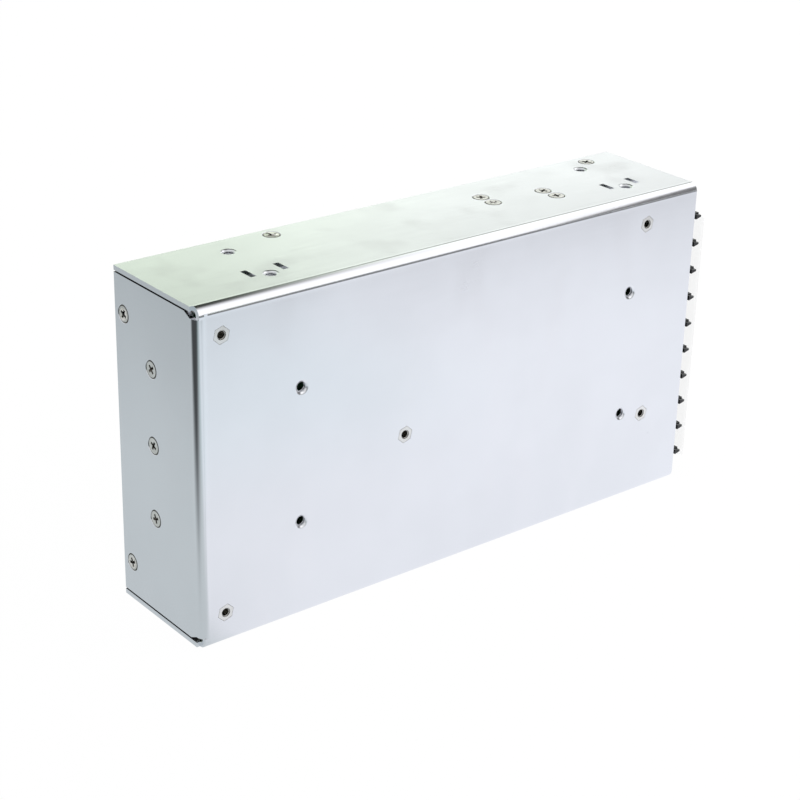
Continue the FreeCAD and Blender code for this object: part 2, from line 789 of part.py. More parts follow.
def finOutline(z):
    """Side view of one barrier: rounded about the hinge at the rear, rounded at the front."""
    k = math.sqrt(0.5)
    rear = V(hingeX, hingeY, z)
    front = V(finFrontX - finCorner, finTopY - finCorner, z)
    a = V(finRearX, boardTop, z)
    b = V(finRearX, hingeY, z)
    c = V(hingeX, finTopY, z)
    d = V(finFrontX - finCorner, finTopY, z)
    e = V(finFrontX, finTopY - finCorner, z)
    f = V(finFrontX, boardTop, z)
    rearArc = Part.Arc(b, rear + V(-k, k, 0) * hingeDrop, c).toShape()
    frontArc = Part.Arc(d, front + V(k, k, 0) * finCorner, e).toShape()
    edges = [Part.makeLine(a, b), rearArc, Part.makeLine(c, d), frontArc, Part.makeLine(e, f),
             Part.makeLine(f, a)]
    return Part.Face(Part.Wire(edges))


def terminalBlock():
    """Moulded barrier strip with a floor, a low back wall and a hinge pin at each end."""
    pieces = [block(finRearX, slabFrontX, boardTop, slabTop, blockLowZ, blockHighZ),
              block(finRearX, finRearX + blockBackThickness, boardTop, boardTop + blockBackHeight,
                    blockLowZ, blockHighZ)]
    for z in finZ:
        pieces.append(finOutline(z - finThickness / 2.0).extrude(V(0, 0, finThickness)))
    pieces.append(rod(pinRadius, V(hingeX, hingeY, blockLowZ - pinLength), V(hingeX, hingeY, finZ[0])))
    pieces.append(rod(pinRadius, V(hingeX, hingeY, finZ[-1]), V(hingeX, hingeY, blockHighZ + pinLength)))
    bores = [rod(terminalScrewRadius + fitGap, V(terminalScrewX, slabTop - terminalScrewDepth, z),
                 V(terminalScrewX, slabTop, z)) for z in cellZ]
    return fused(pieces).cut(group(bores))


def terminalPlates():
    made = []
    start = finRearX + blockBackThickness + plateBackGap
    end = terminalScrewX + washerHalf + plateFrontReach
    top = slabTop + plateThickness
    for z in cellZ:
        plate = block(start, end, slabTop, top, z - plateHalf, z + plateHalf)
        made.append(plate.cut(rod(terminalScrewRadius + fitGap, V(terminalScrewX, slabTop, z),
                                  V(terminalScrewX, top, z))))
    return group(made)


def terminalWashers():
    """Square clamp washers under the terminal screws."""
    made = []
    foot = slabTop + plateThickness
    for z in cellZ:
        washer = standing(terminalScrewX, z, washerHalf, washerHalf, foot, foot + washerThickness)
        made.append(washer.cut(rod(terminalScrewRadius + fitGap, V(terminalScrewX, foot, z),
                                   V(terminalScrewX, foot + washerThickness, z))))
    return group(made)


def terminalScrews():
    made = []
    seat = slabTop + plateThickness + washerThickness
    for z in cellZ:
        top = seat + terminalHeadHeight
        head = rod(terminalHeadRadius, V(terminalScrewX, seat, z), V(terminalScrewX, top, z))
        shank = rod(terminalScrewRadius, V(terminalScrewX, slabTop - terminalScrewDepth, z),
                    V(terminalScrewX, seat, z))
        made.append(fused([head, shank]).cut(crossRecess(V(terminalScrewX, top, z), V(0, -1, 0))))
    return group(made)


def terminalCover():
    """Clear flap: a plate over the barriers, a front lip and an ear at each end on the block's pins."""
    rearX = hingeX + flapRearGap
    flapMiddleY = (flapInnerY + flapOuterY) / 2.0
    earLow = blockLowZ - flapEndGap - earThickness
    earHigh = blockHighZ + flapEndGap + earThickness
    shell = foldedFace(((rearX, flapOuterY), (flapFrontX, flapOuterY), (flapFrontX, boardTop - flapLipDrop)),
                       flapThickness, flapBend, onXY(earLow)).extrude(V(0, 0, earHigh - earLow))
    pieces = [shell]
    for z in (earLow, earHigh - earThickness):
        web = Part.Face(loop([V(hingeX, hingeY - earRadius, z), V(hingeX + earReach, flapInnerY, z),
                              V(hingeX + earReach, flapMiddleY, z), V(rearX, flapMiddleY, z),
                              V(rearX, flapInnerY, z), V(hingeX, hingeY + earRadius, z)]))
        pieces.append(web.extrude(V(0, 0, earThickness)))
        pieces.append(rod(earRadius, V(hingeX, hingeY, z), V(hingeX, hingeY, z + earThickness)))
    start, end = earLow - overshoot, earHigh + overshoot
    notchTop = flapInnerY - lipNotchDrop
    cut = [rod(pinRadius + hingeClearance, V(hingeX, hingeY, start), V(hingeX, hingeY, end)),
           block(finFrontX, flapFrontX + overshoot, 0, notchTop, blockHighZ - lipNotch, end)]
    return fused(pieces).cut(group(cut))


def trimmerBody():
    low, high = boardTop, boardTop + trimmerHeight
    body = standing(trimmerX, trimmerZ, trimmerSide / 2, trimmerSide / 2, low, high)
    body = body.makeChamfer(trimmerChamfer, [e for e in body.Edges if e.BoundBox.YLength > 1.0])
    return body.cut(rod(rotorRadius + hingeClearance, V(trimmerX, high - rotorSink - rotorEndGap, trimmerZ),
                        V(trimmerX, high, trimmerZ)))


def trimmerRotor():
    """Slotted disc that a screwdriver turns."""
    low = boardTop + trimmerHeight - rotorSink
    top = boardTop + trimmerHeight + rotorProud
    rotor = rod(rotorRadius, V(trimmerX, low, trimmerZ), V(trimmerX, top, trimmerZ))
    cross = []
    reach = rotorRadius * rotorSlotShare
    for halfX, halfZ in ((reach, rotorSlot / 2), (rotorSlot / 2, reach)):
        cross.append(standing(trimmerX, trimmerZ, halfX, halfZ, top - rotorSlotDepth, top))
    return rotor.cut(fused(cross))


def indicatorLight():
    foot = V(lightX, boardTop, lightZ)
    rim = rod(lightRimRadius, foot, foot + V(0, lightRimHeight, 0))
    stem = rod(lightRadius, foot, foot + V(0, lightHeight - lightRadius, 0))
    dome = Part.makeSphere(lightRadius, foot + V(0, lightHeight - lightRadius, 0))
    return fused([rim, stem, dome])


def ringSection(inner, outer, low, high, chamfer):
    """Chamfered ring section to revolve about the Y axis."""
    return loop([V(inner + chamfer, low, 0), V(outer - chamfer, low, 0), V(outer, low + chamfer, 0),
                 V(outer, high - chamfer, 0), V(outer - chamfer, high, 0), V(inner + chamfer, high, 0),
                 V(inner, high - chamfer, 0), V(inner, low + chamfer, 0)])


def ringCore(centre, ring):
    inner, outer, height = ring
    low = boardTop + ringBase + wireBuild + ringClearance
    face = Part.Face(ringSection(inner, outer, low, low + height, ringChamfer))
    core = face.revolve(V(0, 0, 0), V(0, 1, 0), 360)
    core.translate(V(centre[0], 0, centre[1]))
    return core


def ringWinding(centre, ring, spans):
    """Sleeves of wire around the core, each over a span of start angle and sweep."""
    inner, outer, height = ring
    low = boardTop + ringBase + wireBuild + ringClearance
    grow = ringClearance + wireBuild
    bottom, top = low - ringClearance, low + height + ringClearance
    hole = loop([V(inner - ringClearance, bottom, 0), V(outer + ringClearance, bottom, 0),
                 V(outer + ringClearance, top, 0), V(inner - ringClearance, top, 0)])
    skinChamfer = ringChamfer + wireBuild * wireRoundShare
    skin = ringSection(inner - grow, outer + grow, low - grow, low + height + grow, skinChamfer)
    face = Part.makeFace([skin, hole], "Part::FaceMakerBullseye")
    sleeves = []
    for start, sweep in spans:
        sleeve = face.revolve(V(0, 0, 0), V(0, 1, 0), sweep)
        sleeve.rotate(V(0, 0, 0), V(0, 1, 0), start)
        sleeve.translate(V(centre[0], 0, centre[1]))
        sleeves.append(sleeve)
    return sleeves


def ringFoot(centre, ring):
    """Round board base under a ring core."""
    radius = ring[1] + wireBuild + ringClearance + ringBaseRim
    return rod(radius, V(centre[0], boardTop, centre[1]), V(centre[0], boardTop + ringBase, centre[1]))


def transformerLevels():
    coreLow = boardTop + bobbinBase
    windowLow = coreLow + coreYoke
    return coreLow, windowLow, windowLow + windowHeight


def transformerCore():
    """Two E halves closed into one: yokes, outer legs and centre leg."""
    x, z = transformerCentre
    coreLow, windowLow, windowHigh = transformerLevels()
    body = standing(x, z, coreHalfLength, coreHalfWidth, coreLow, windowHigh + coreYoke)
    for side in (-1, 1):
        middle = x + side * coreHalfLength / 2.0
        half = (coreHalfLength - 2 * coreLeg) / 2.0
        body = body.cut(standing(middle, z, half, coreHalfWidth + overshoot, windowLow, windowHigh))
    corners = [e for e in body.Edges if e.BoundBox.ZLength > coreHalfWidth
               and abs(abs(e.BoundBox.Center.x - x) - coreHalfLength) < edgeTolerance]
    return body.makeChamfer(coreChamfer, corners)


def transformerBobbin():
    """Former: square tube round the centre leg, two cheeks and the pin rails on the board."""
    x, z = transformerCentre
    coreLow, windowLow, windowHigh = transformerLevels()
    low, high = windowLow + bobbinClearance, windowHigh - bobbinClearance
    legX = coreLeg + bobbinClearance
    legZ = coreHalfWidth + bobbinClearance
    reachX = coreHalfLength - coreLeg - bobbinClearance
    tube = standing(x, z, legX + bobbinWall, legZ + bobbinWall, low, high)
    cheeks = [standing(x, z, reachX, bobbinHalf, low, low + bobbinFlange),
              standing(x, z, reachX, bobbinHalf, high - bobbinFlange, high)]
    rails = []
    for side in (-1, 1):
        railZ = z + side * (legZ + bobbinHalf) / 2.0
        rails.append(standing(x, railZ, reachX, (bobbinHalf - legZ) / 2.0, boardTop, low + bobbinFlange))
    body = fused([tube] + cheeks + rails)
    return body.cut(standing(x, z, legX, legZ, low - overshoot, high + overshoot))


def transformerWinding():
    x, z = transformerCentre
    coreLow, windowLow, windowHigh = transformerLevels()
    low = windowLow + bobbinClearance + bobbinFlange
    high = windowHigh - bobbinClearance - bobbinFlange
    reachX = coreHalfLength - coreLeg - bobbinClearance - windingInset
    outer = standing(x, z, reachX, bobbinHalf - windingInset, low, high)
    outer = outer.makeFillet(windingCorner, [e for e in outer.Edges if e.BoundBox.YLength > 1])
    legX = coreLeg + bobbinClearance + bobbinWall
    legZ = coreHalfWidth + bobbinClearance + bobbinWall
    return outer.cut(standing(x, z, legX, legZ, low - overshoot, high + overshoot))


def auxiliaryCore():
    """Small E core seen as two yokes and two legs around its winding."""
    x, z = auxiliaryCentre
    low, high = boardTop + auxiliaryLift, boardTop + auxiliaryHeight
    body = standing(x, z, auxiliaryHalf[0], auxiliaryCoreHalf, low, high)
    half = auxiliaryHalf[0] - auxiliaryLeg
    window = standing(x, z, half, auxiliaryCoreHalf + overshoot, low + auxiliaryYoke, high - auxiliaryYoke)
    return body.cut(window)


def auxiliaryWinding():
    """Taped winding with its moulded foot on the board."""
    x, z = auxiliaryCentre
    inset = auxiliaryYoke + auxiliaryClearance
    low, high = boardTop + auxiliaryLift + inset, boardTop + auxiliaryHeight - inset
    half = auxiliaryHalf[0] - auxiliaryLeg - auxiliaryClearance
    body = standing(x, z, half, auxiliaryHalf[1], low, high)
    coreSide = auxiliaryCoreHalf + auxiliaryClearance
    footShift, footHalf = (auxiliaryHalf[1] + coreSide) / 2.0, (auxiliaryHalf[1] - coreSide) / 2.0
    feet = [standing(x, z + side * footShift, half, footHalf, boardTop, high) for side in (-1, 1)]
    return fused([body] + feet)


def can(x, z, radius, height):
    """Round can with a turned-in top edge."""
    profile = loop([V(0, 0, 0), V(radius, 0, 0), V(radius, height - capChamfer, 0),
                    V(radius - capChamfer, height, 0), V(0, height, 0)])
    body = Part.Face(profile).revolve(V(0, 0, 0), V(0, 1, 0), 360)
    body.translate(V(x, boardTop, z))
    return body


def boxed(x, z, half, height):
    """Moulded box part with chamfered upright and top edges."""
    body = standing(x, z, half[0], half[1], boardTop, boardTop + height)
    picked = [e for e in body.Edges if e.BoundBox.YMax > boardTop + 0.1]
    return body.makeChamfer(boxChamfer, picked)


def disc(x, z, radius, thickness, alongX):
    """Coated disc part standing on two leads."""
    centre = V(x, boardTop + discLift + radius, z)
    axis = V(1, 0, 0) if alongX else V(0, 0, 1)
    across = V(0, 0, 1) if alongX else V(1, 0, 0)
    body = rod(radius, centre - axis * (thickness / 2), centre + axis * (thickness / 2))
    pieces = [body]
    for side in (-1, 1):
        foot = V(x, boardTop, z) + across * (side * radius * discLeadShare)
        pieces.append(standing(foot.x, foot.z, leadRadius, leadRadius, boardTop, centre.y - radius / 2.0))
    return fused(pieces)


def fuseParts():
    """Glass tube, its two end caps and the two clips on the board."""
    x, z = spot(fusePlace)
    level = boardTop + fuseLift
    half = fuseLength / 2
    tubeHalf = half - fuseCapWall
    tube = rod(fuseRadius - fuseCapWall, V(x - tubeHalf, level, z), V(x + tubeHalf, level, z))
    caps, clips = [], []
    for side in (-1, 1):
        end, start = V(x + side * half, level, z), V(x + side * (half - fuseCapLength), level, z)
        inside = V(x + side * tubeHalf, level, z)
        caps.append(rod(fuseRadius, start, end).cut(rod(fuseRadius - fuseCapWall, start, inside)))
        middle = x + side * (half - fuseCapLength / 2)
        reach = fuseRadius + clipThickness
        clip = standing(middle, z, clipLength / 2, reach, boardTop, level + fuseRadius * clipRiseShare)
        hollow = standing(middle, z, clipLength, fuseRadius, boardTop + clipThickness, level + 2 * fuseRadius)
        clips.append(clip.cut(hollow))
    return tube, group(caps), group(clips)


def bridgeRectifier():
    """Flat moulded bridge standing on four leads, one top corner cut."""
    x, z = spot(bridgePlace)
    low = boardTop + bridgeLift
    high = low + bridgeHeight
    start = x - bridgeThickness / 2
    side = Part.Face(loop([V(start, low, z - bridgeHalf), V(start, low, z + bridgeHalf),
                           V(start, high, z + bridgeHalf), V(start, high, z - bridgeHalf + bridgeCorner),
                           V(start, high - bridgeCorner, z - bridgeHalf)]))
    pieces = [side.extrude(V(bridgeThickness, 0, 0))]
    for i in range(4):
        leadZ = z + (i - 1.5) * bridgeLeadPitch
        pieces.append(standing(x, leadZ, bridgeLeadHalf[0], bridgeLeadHalf[1], boardTop, low + bodyLap))
    return fused(pieces)


def controlBoard():
    x, z = controlCentre
    return standing(x, z, controlHalf, controlThickness / 2, boardTop, boardTop + controlHeight)


def controlChips():
    """Moulded packages on the control board's upper face."""
    face = controlCentre[1] + controlThickness / 2
    made = []
    for shift, rise, half in chipPlaces:
        x, low = controlCentre[0] + shift, boardTop + rise
        made.append(block(x - half, x + half, low, low + chipHeight, face, face + chipThickness))
    return group(made)


def resistor(x, z):
    """Power resistor on two bent leads."""
    level = boardTop + resistorLift + resistorRadius
    half = resistorLength / 2
    pieces = [rod(resistorRadius, V(x - half, level, z), V(x + half, level, z))]
    for side in (-1, 1):
        outerX = x + side * (half + resistorLeadReach)
        start, end = sorted((x + side * (half - bodyLap), outerX + side * leadRadius))
        low, high = level - leadRadius, level + leadRadius
        pieces.append(standing((start + end) / 2.0, z, (end - start) / 2.0, leadRadius, low, high))
        pieces.append(standing(outerX, z, leadRadius, leadRadius, boardTop, level))
    return fused(pieces)


def main():
    os.makedirs("parts", exist_ok=True)
    keep("base_chassis", chassis())
    keep("mesh_cover", meshCover())
    keep("insulating_sheet", insulatingSheet())
    keep("main_board", mainBoard())
    keep("board_standoffs", standoffs())
    keep("inner_screws", innerScrews())
    keep("cover_screws", flangeScrews())
    keep("device_screws", deviceScrews())
    keep("device_nuts", deviceNuts())
    keep("thermal_pads", thermalPads())
    keep("rear_power_devices", rearDevices())
    keep("heat_spreaders", heatSpreaders())
    keep("output_rectifiers", rectifiers())
    keep("terminal_block", terminalBlock())
    keep("terminal_plates", terminalPlates())
    keep("terminal_washers", terminalWashers())
    keep("terminal_screws", terminalScrews())
    keep("terminal_cover", terminalCover())
    keep("trimmer_body", trimmerBody())
    keep("trimmer_rotor", trimmerRotor())
    keep("indicator_light", indicatorLight())

    rings = (("boost_inductor", boostCentre, boostRing, ((20, 320),)),
             ("output_choke", outputCentre, outputRing, ((200, 320),)),
             ("line_choke", lineCentre, lineRing, ((15, 140), (205, 140))))
    for name, centre, ring, spans in rings:
        keep(name + "_core", ringCore(centre, ring))
        keep(name + "_winding", group(ringWinding(centre, ring, spans)))
        keep(name + "_base", ringFoot(centre, ring))

    keep("transformer_core", transformerCore())
    keep("transformer_bobbin", transformerBobbin())
    keep("transformer_winding", transformerWinding())
    keep("auxiliary_transformer_core", auxiliaryCore())
    keep("auxiliary_transformer_winding", auxiliaryWinding())

    keep("bulk_capacitors", group([can(x, z, bulkRadius, bulkHeight) for x, z in spots(bulkPlaces)]))
    keep("output_capacitors", group([can(x, z, outputCapRadius, outputCapHeight)
                                     for x, z in spots(outputCapPlaces)]))
    keep("small_capacitors", group([can(x, z, smallCapRadius, smallCapHeight)
                                    for x, z in spots(smallCapPlaces)]))
    keep("line_capacitors", group([boxed(x, z, lineCapHalf, lineCapHeight)
                                   for x, z in spots(lineCapPlaces)]))
    keep("film_capacitors", group([boxed(x, z, filmCapHalf, filmCapHeight)
                                   for x, z in spots(filmCapPlaces)]))
    keep("safety_capacitors", group([disc(x, z, safetyCapRadius, safetyCapThickness, False)
                                     for x, z in spots(safetyCapPlaces)]))
    keep("surge_varistor", disc(*spot(varistorPlace), varistorRadius, varistorThickness, False))
    keep("inrush_thermistor", disc(*spot(thermistorPlace), thermistorRadius, thermistorThickness, True))
    tube, caps, clips = fuseParts()
    keep("fuse_tube", tube)
    keep("fuse_caps", caps)
    keep("fuse_clips", clips)
    keep("bridge_rectifier", bridgeRectifier())
    keep("control_board", controlBoard())
    keep("control_chips", controlChips())
    keep("optocouplers", group([boxed(x, z, couplerHalf, couplerHeight) for x, z in spots(couplerPlaces)]))
    keep("power_resistors", group([resistor(x, z) for x, z in spots(resistorPlaces)]))


main()
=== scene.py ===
import json
import math

import bmesh
import bpy
from mathutils import Matrix, Vector


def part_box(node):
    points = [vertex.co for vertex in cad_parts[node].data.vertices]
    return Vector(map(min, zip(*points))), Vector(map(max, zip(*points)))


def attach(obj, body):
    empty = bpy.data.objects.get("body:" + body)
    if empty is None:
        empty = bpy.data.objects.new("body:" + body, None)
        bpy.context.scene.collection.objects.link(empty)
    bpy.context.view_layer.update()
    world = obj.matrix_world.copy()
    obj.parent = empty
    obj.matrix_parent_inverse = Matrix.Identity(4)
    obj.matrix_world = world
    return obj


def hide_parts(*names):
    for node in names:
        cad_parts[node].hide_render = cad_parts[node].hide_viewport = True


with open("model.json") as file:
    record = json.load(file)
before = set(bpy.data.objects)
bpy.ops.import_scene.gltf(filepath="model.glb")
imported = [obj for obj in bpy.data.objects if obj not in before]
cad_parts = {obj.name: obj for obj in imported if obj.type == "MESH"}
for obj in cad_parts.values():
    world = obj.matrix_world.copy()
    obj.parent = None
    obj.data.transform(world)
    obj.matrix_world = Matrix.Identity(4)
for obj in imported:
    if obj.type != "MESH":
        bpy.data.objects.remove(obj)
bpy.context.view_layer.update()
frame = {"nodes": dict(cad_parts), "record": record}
mm = 0.001
caseLow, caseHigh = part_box("base_chassis")
print("frame loaded with", len(frame["nodes"]), "nodes")


def at(x, y, z):  # millimetres from the chassis corner to a point in the row frame
    return caseLow + Vector((x, y, z)) * mm


class Flow:  # a node's output that takes part in plain arithmetic
    def __init__(self, nodes, socket):
        self.nodes = nodes
        self.socket = socket

    def maths(self, operation, first, second=0.0):
        return self.nodes.node("ShaderNodeMath", {"operation": operation}, {0: first, 1: second})

    def __add__(self, other):
        return self.maths("ADD", self, other)

    def __radd__(self, other):
        return self.maths("ADD", other, self)

    def __sub__(self, other):
        return self.maths("SUBTRACT", self, other)

    def __rsub__(self, other):
        return self.maths("SUBTRACT", other, self)

    def __mul__(self, other):
        return self.maths("MULTIPLY", self, other)

    def above(self, level):
        return self.maths("GREATER_THAN", self, level)

    def most(self, other):
        return self.maths("MAXIMUM", self, other)

    def size(self):
        return self.maths("ABSOLUTE", self)

    def zigzag(self, width):
        return self.maths("PINGPONG", self, width)

    def fade(self, start, end, low=0.0, high=1.0):  # smooth step from low at start to high at end
        return self.nodes.node("ShaderNodeMapRange", {"interpolation_type": "SMOOTHSTEP"},
                               {0: self, 1: start, 2: end, 3: low, 4: high})


class Nodes:  # one node tree, for a material, a world or a geometry modifier
    def __init__(self, tree):
        self.tree = tree

    def feed(self, socket, value):
        if isinstance(value, Flow):
            self.tree.links.new(value.socket, socket)
        else:
            socket.default_value = value

    def node(self, kind, settings=None, inputs=None, out=0):
        made = self.tree.nodes.new(kind)
        for name, value in (settings or {}).items():
            if name == "stops":
                ramp = made.color_ramp.elements
                while len(ramp) < len(value):
                    ramp.new(0.5)
                for stop, (position, colour) in zip(ramp, value):
                    stop.position = position
                    stop.color = colour
            else:
                setattr(made, name, value)
        for key, value in (inputs or {}).items():
            for each in value if isinstance(value, list) else [value]:
                self.feed(made.inputs[key], each)
        return Flow(self, made.outputs[out])

    def blendColour(self, mask, first, second):
        return self.node("ShaderNodeMix", {"data_type": "RGBA"}, {0: mask, 6: first, 7: second}, 2)

    def part(self, vector, i):
        return self.node("ShaderNodeSeparateXYZ", {}, {0: vector}, i)

    def split(self, vector):
        return [self.part(vector, i) for i in range(3)]

    def vector(self, x=0.0, y=0.0, z=0.0):
        return self.node("ShaderNodeCombineXYZ", {}, {0: x, 1: y, 2: z})


class Finish(Nodes):  # a material around one Principled shader, with its patterns in object space
    def __init__(self, name, fixed):
        self.material = bpy.data.materials.new(name)
        self.material.use_nodes = True
        super().__init__(self.material.node_tree)
        self.tree.nodes.clear()
        self.shader = self.tree.nodes.new("ShaderNodeBsdfPrincipled")
        self.surface = self.tree.nodes.new("ShaderNodeOutputMaterial")
        self.tree.links.new(self.shader.outputs[0], self.surface.inputs[0])
        for socket, value in fixed.items():
            self.shader.inputs[socket].default_value = value
        self.place = self.node("ShaderNodeTexCoord", out=3)

    def noise(self, scale, detail=3.0, rough=0.55, stretch=(1.0, 1.0, 1.0)):
        where = self.node("ShaderNodeMapping", {}, {"Vector": self.place, "Scale": stretch})
        return self.node("ShaderNodeTexNoise", {}, {"Vector": where, "Scale": scale, "Detail": detail,
                                                    "Roughness": rough})

    def cells(self, scale, distance="EUCLIDEAN"):
        return self.node("ShaderNodeTexVoronoi", {"distance": distance},
                         {"Vector": self.place, "Scale": scale})

    def axis(self, letter):
        return self.part(self.place, "XYZ".index(letter))

    def blendSoft(self, mask, first, second, start=0.3, end=0.7):  # one tone running into another in patches
        return self.blendColour(mask.fade(start, end), first, second)

    def bump(self, height, depth, strength):
        return self.node("ShaderNodeBump", {}, {"Strength": strength, "Distance": depth, "Height": height})

    def set(self, **values):
        names = {"colour": "Base Color", "rough": "Roughness", "metal": "Metallic", "normal": "Normal",
                 "coat": "Coat Weight"}
        for key, value in values.items():
            self.feed(self.shader.inputs[names[key]], value)
        return self.material


def shade(colour, factor):
    return tuple(channel * factor for channel in colour[:3]) + (1.0,)


# Metals

def burnished(look, x, y, z):
    # the outside of each bend, left smoother by the press
    near, clear = look["bendNear"], look["bendClear"]
    side = x.fade(caseLow.x + clear, caseLow.x + near).most(z.fade(caseLow.z + clear, caseLow.z + near))
    side = side.most(z.fade(caseHigh.z - clear, caseHigh.z - near))
    return side * y.fade(caseLow.y + clear, caseLow.y + near)


def slitShade(look, x, y, z):
    # painted shade: the slit under each flange's end darkened nearly to black, standing in for the shadow in
    # it
    inner, outer = look["seam"]
    lift = (z - (caseLow.z + caseHigh.z) / 2.0).size() - (caseHigh.z - caseLow.z) / 2.0
    seam = lift.above(outer) * (inner - lift).above(0.0) * (look["seamReach"] + caseLow.x - x).above(0.0)
    return seam * y.above(caseLow.y + look["seamFrom"])


def sheetMetal(name, look):
    # rolled sheet under a clear finish: long faint grain, handling smears, a few dark specks, and painted
    # shade in the slits under the flanges
    finish = Finish(name, {"Metallic": 1.0, "Specular IOR Level": 0.5})
    cloud = finish.noise(look["cloudScale"], detail=4.0, rough=0.6)
    grain = finish.noise(look["grainScale"], rough=0.6, stretch=look["grainStretch"])
    smear = finish.noise(look["smearScale"], detail=2.0, rough=0.5, stretch=look["smearStretch"])
    smear = smear.fade(*look["smearFade"])
    fine = finish.noise(look["fineScale"], detail=2.0, rough=0.5)
    speck = finish.cells(look["speckScale"]).fade(look["speckSize"], look["speckSize"] * 0.5)
    speck = speck * cloud.above(look["speckFrom"])
    tone = finish.blendSoft(cloud, look["colour"], shade(look["colour"], look["cloudTone"]))
    tone = finish.blendColour(smear * look["smearTone"], tone, look["smearColour"])
    tone = finish.blendColour(speck * look["speckTone"], tone, look["dirtAndShade"])
    rough = look["rough"] + (cloud - 0.5) * look["roughSwing"] + (grain - 0.5) * look["grainSwing"]
    rough = rough + smear * look["smearRough"]
    place = finish.split(finish.place)
    rough = rough - burnished(look, *place) * (rough - look["bendRough"])
    seam = slitShade(look, *place)
    # painted shade in the slit, in the same dark colour as the specks
    tone = finish.blendColour(seam * look["seamShadeTone"], tone, look["dirtAndShade"])
    rough = rough + seam * look["seamRough"]
    height = grain * look["grainDepth"] + fine * look["fineDepth"]
    return finish.set(colour=tone, rough=rough, normal=finish.bump(height, look["depth"], look["bump"]))


chassisLook = {
    "colour": (0.83, 0.845, 0.875, 1.0), "rough": 0.21, "roughSwing": 0.05, "depth": 0.05 * mm, "bump": 0.12,
    "cloudScale": 22.0, "cloudTone": 0.965, "fineScale": 2600.0, "fineDepth": 0.35,
    "grainScale": 900.0, "grainStretch": (0.05, 1.0, 1.0), "grainSwing": 0.05, "grainDepth": 0.5,
    "smearScale": 60.0, "smearStretch": (1.0, 1.0, 0.35), "smearFade": (0.52, 0.74), "smearTone": 0.22,
    "smearColour": (0.9, 0.9, 0.93, 1.0), "smearRough": 0.06,
    "bendRough": 0.10, "bendNear": 2.2 * mm, "bendClear": 3.9 * mm,
    # the seam entries place the painted shade in the slits; the dark colour below serves both the specks and
    # that painted shade
    "seam": (-1.47 * mm, -2.03 * mm), "seamReach": 1.7 * mm, "seamFrom": 4.0 * mm, "seamShadeTone": 0.95,
    "seamRough": 0.4, "dirtAndShade": (0.05, 0.05, 0.055, 1.0),
    "speckScale": 70.0, "speckSize": 0.02, "speckFrom": 0.56, "speckTone": 0.7,
}
coverLook = dict(chassisLook, colour=(0.72, 0.735, 0.76, 1.0), rough=0.3, bendRough=0.2, cloudScale=34.0,
                 cloudTone=0.93, bump=0.18)


def plated(name, look):
    # bright or dull plating: soft colour drift, fine turning marks, darker handling in patches, and optional
    # painted shade on chamfers and in hollows
    finish = Finish(name, {"Metallic": 1.0})
    drift = finish.noise(look["driftScale"])
    fine = finish.noise(look["fineScale"], detail=2.0)
    tone = finish.blendSoft(drift, look["colour"], look["drift"])
    if "film" in look:  # painted shade: chamfers, the recess and the bore darkened, standing in for the shade that falls there
        facing = finish.split(finish.node("ShaderNodeNewGeometry", out=3))
        flat = facing[0].size().most(facing[1].size()).most(facing[2].size())
        tone = finish.blendColour(flat.fade(*look["filmEdge"]), tone, look["film"])
    rough = look["rough"] + (drift - 0.5) * look["roughSwing"] + (fine - 0.5) * look["fineSwing"]
    return finish.set(colour=tone, rough=rough, normal=finish.bump(fine, look["depth"], look["bump"]))


nickelLook = {"colour": (0.74, 0.715, 0.665, 1.0), "drift": (0.66, 0.635, 0.60, 1.0), "rough": 0.26,
              "roughSwing": 0.14, "driftScale": 240.0, "fineScale": 2400.0, "fineSwing": 0.06,
              "depth": 0.03 * mm, "bump": 0.15}
steelLook = dict(nickelLook, colour=(0.76, 0.755, 0.735, 1.0), drift=(0.66, 0.65, 0.62, 1.0), rough=0.3,
                 driftScale=200.0, fineScale=2000.0, bump=0.2)
spreaderLook = dict(nickelLook, colour=(0.77, 0.775, 0.78, 1.0), drift=(0.70, 0.705, 0.71, 1.0), rough=0.38,
                    driftScale=120.0, fineScale=1500.0, bump=0.25)
# the darker colour on chamfers, recesses and bores below is painted shade
sunkScrewLook = dict(nickelLook, colour=(0.82, 0.81, 0.78, 1.0), drift=(0.70, 0.69, 0.65, 1.0),
                     film=(0.10, 0.095, 0.085, 1.0), filmEdge=(0.995, 0.96))
standoffLook = dict(sunkScrewLook, colour=(0.80, 0.80, 0.785, 1.0), drift=(0.74, 0.735, 0.71, 1.0),
                    film=(0.24, 0.23, 0.20, 1.0))


# Plastics and coatings

def moulded(name, look):
    # moulding compound or plastic: slight mottling, spark-finished surface, optional gloss
    finish = Finish(name, {"Coat Roughness": 0.2, "Subsurface Weight": look["soft"], "Subsurface Scale": mm,
                           "IOR": 1.5})
    mottle = finish.noise(look["mottleScale"])
    texture = finish.noise(look["textureScale"], detail=2.0, rough=0.6)
    tone = finish.blendSoft(mottle, look["colour"], shade(look["colour"], look["mottle"]))
    rough = look["rough"] + (mottle - 0.5) * look["roughSwing"] + (texture - 0.5) * look["roughSwing"]
    return finish.set(colour=tone, rough=rough, coat=look["coat"],
                      normal=finish.bump(texture, look["depth"], look["bump"]))


def mould(colour, rough, bump=0.25, **more):
    look = {"colour": colour + (1.0,), "rough": rough, "roughSwing": 0.12, "coat": 0.0, "soft": 0.0,
            "mottle": 0.86, "mottleScale": 90.0, "textureScale": 1600.0, "depth": 0.05 * mm, "bump": bump}
    look.update(more)
    return look


def clearPlastic(name, look):
    # clear moulding: see-through with a faint milky drift and soft flow marks
    finish = Finish(name, {"Transmission Weight": look["clear"], "IOR": look["bend"], "Coat Roughness": 0.1,
                           "Alpha": look["alpha"]})
    drift = finish.noise(look["driftScale"])
    tone = finish.blendSoft(drift, look["colour"], look["drift"], start=0.35)
    return finish.set(colour=tone, rough=look["rough"] + (drift - 0.5) * look["roughSwing"],
                      normal=finish.bump(drift, look["depth"], look["bump"]))


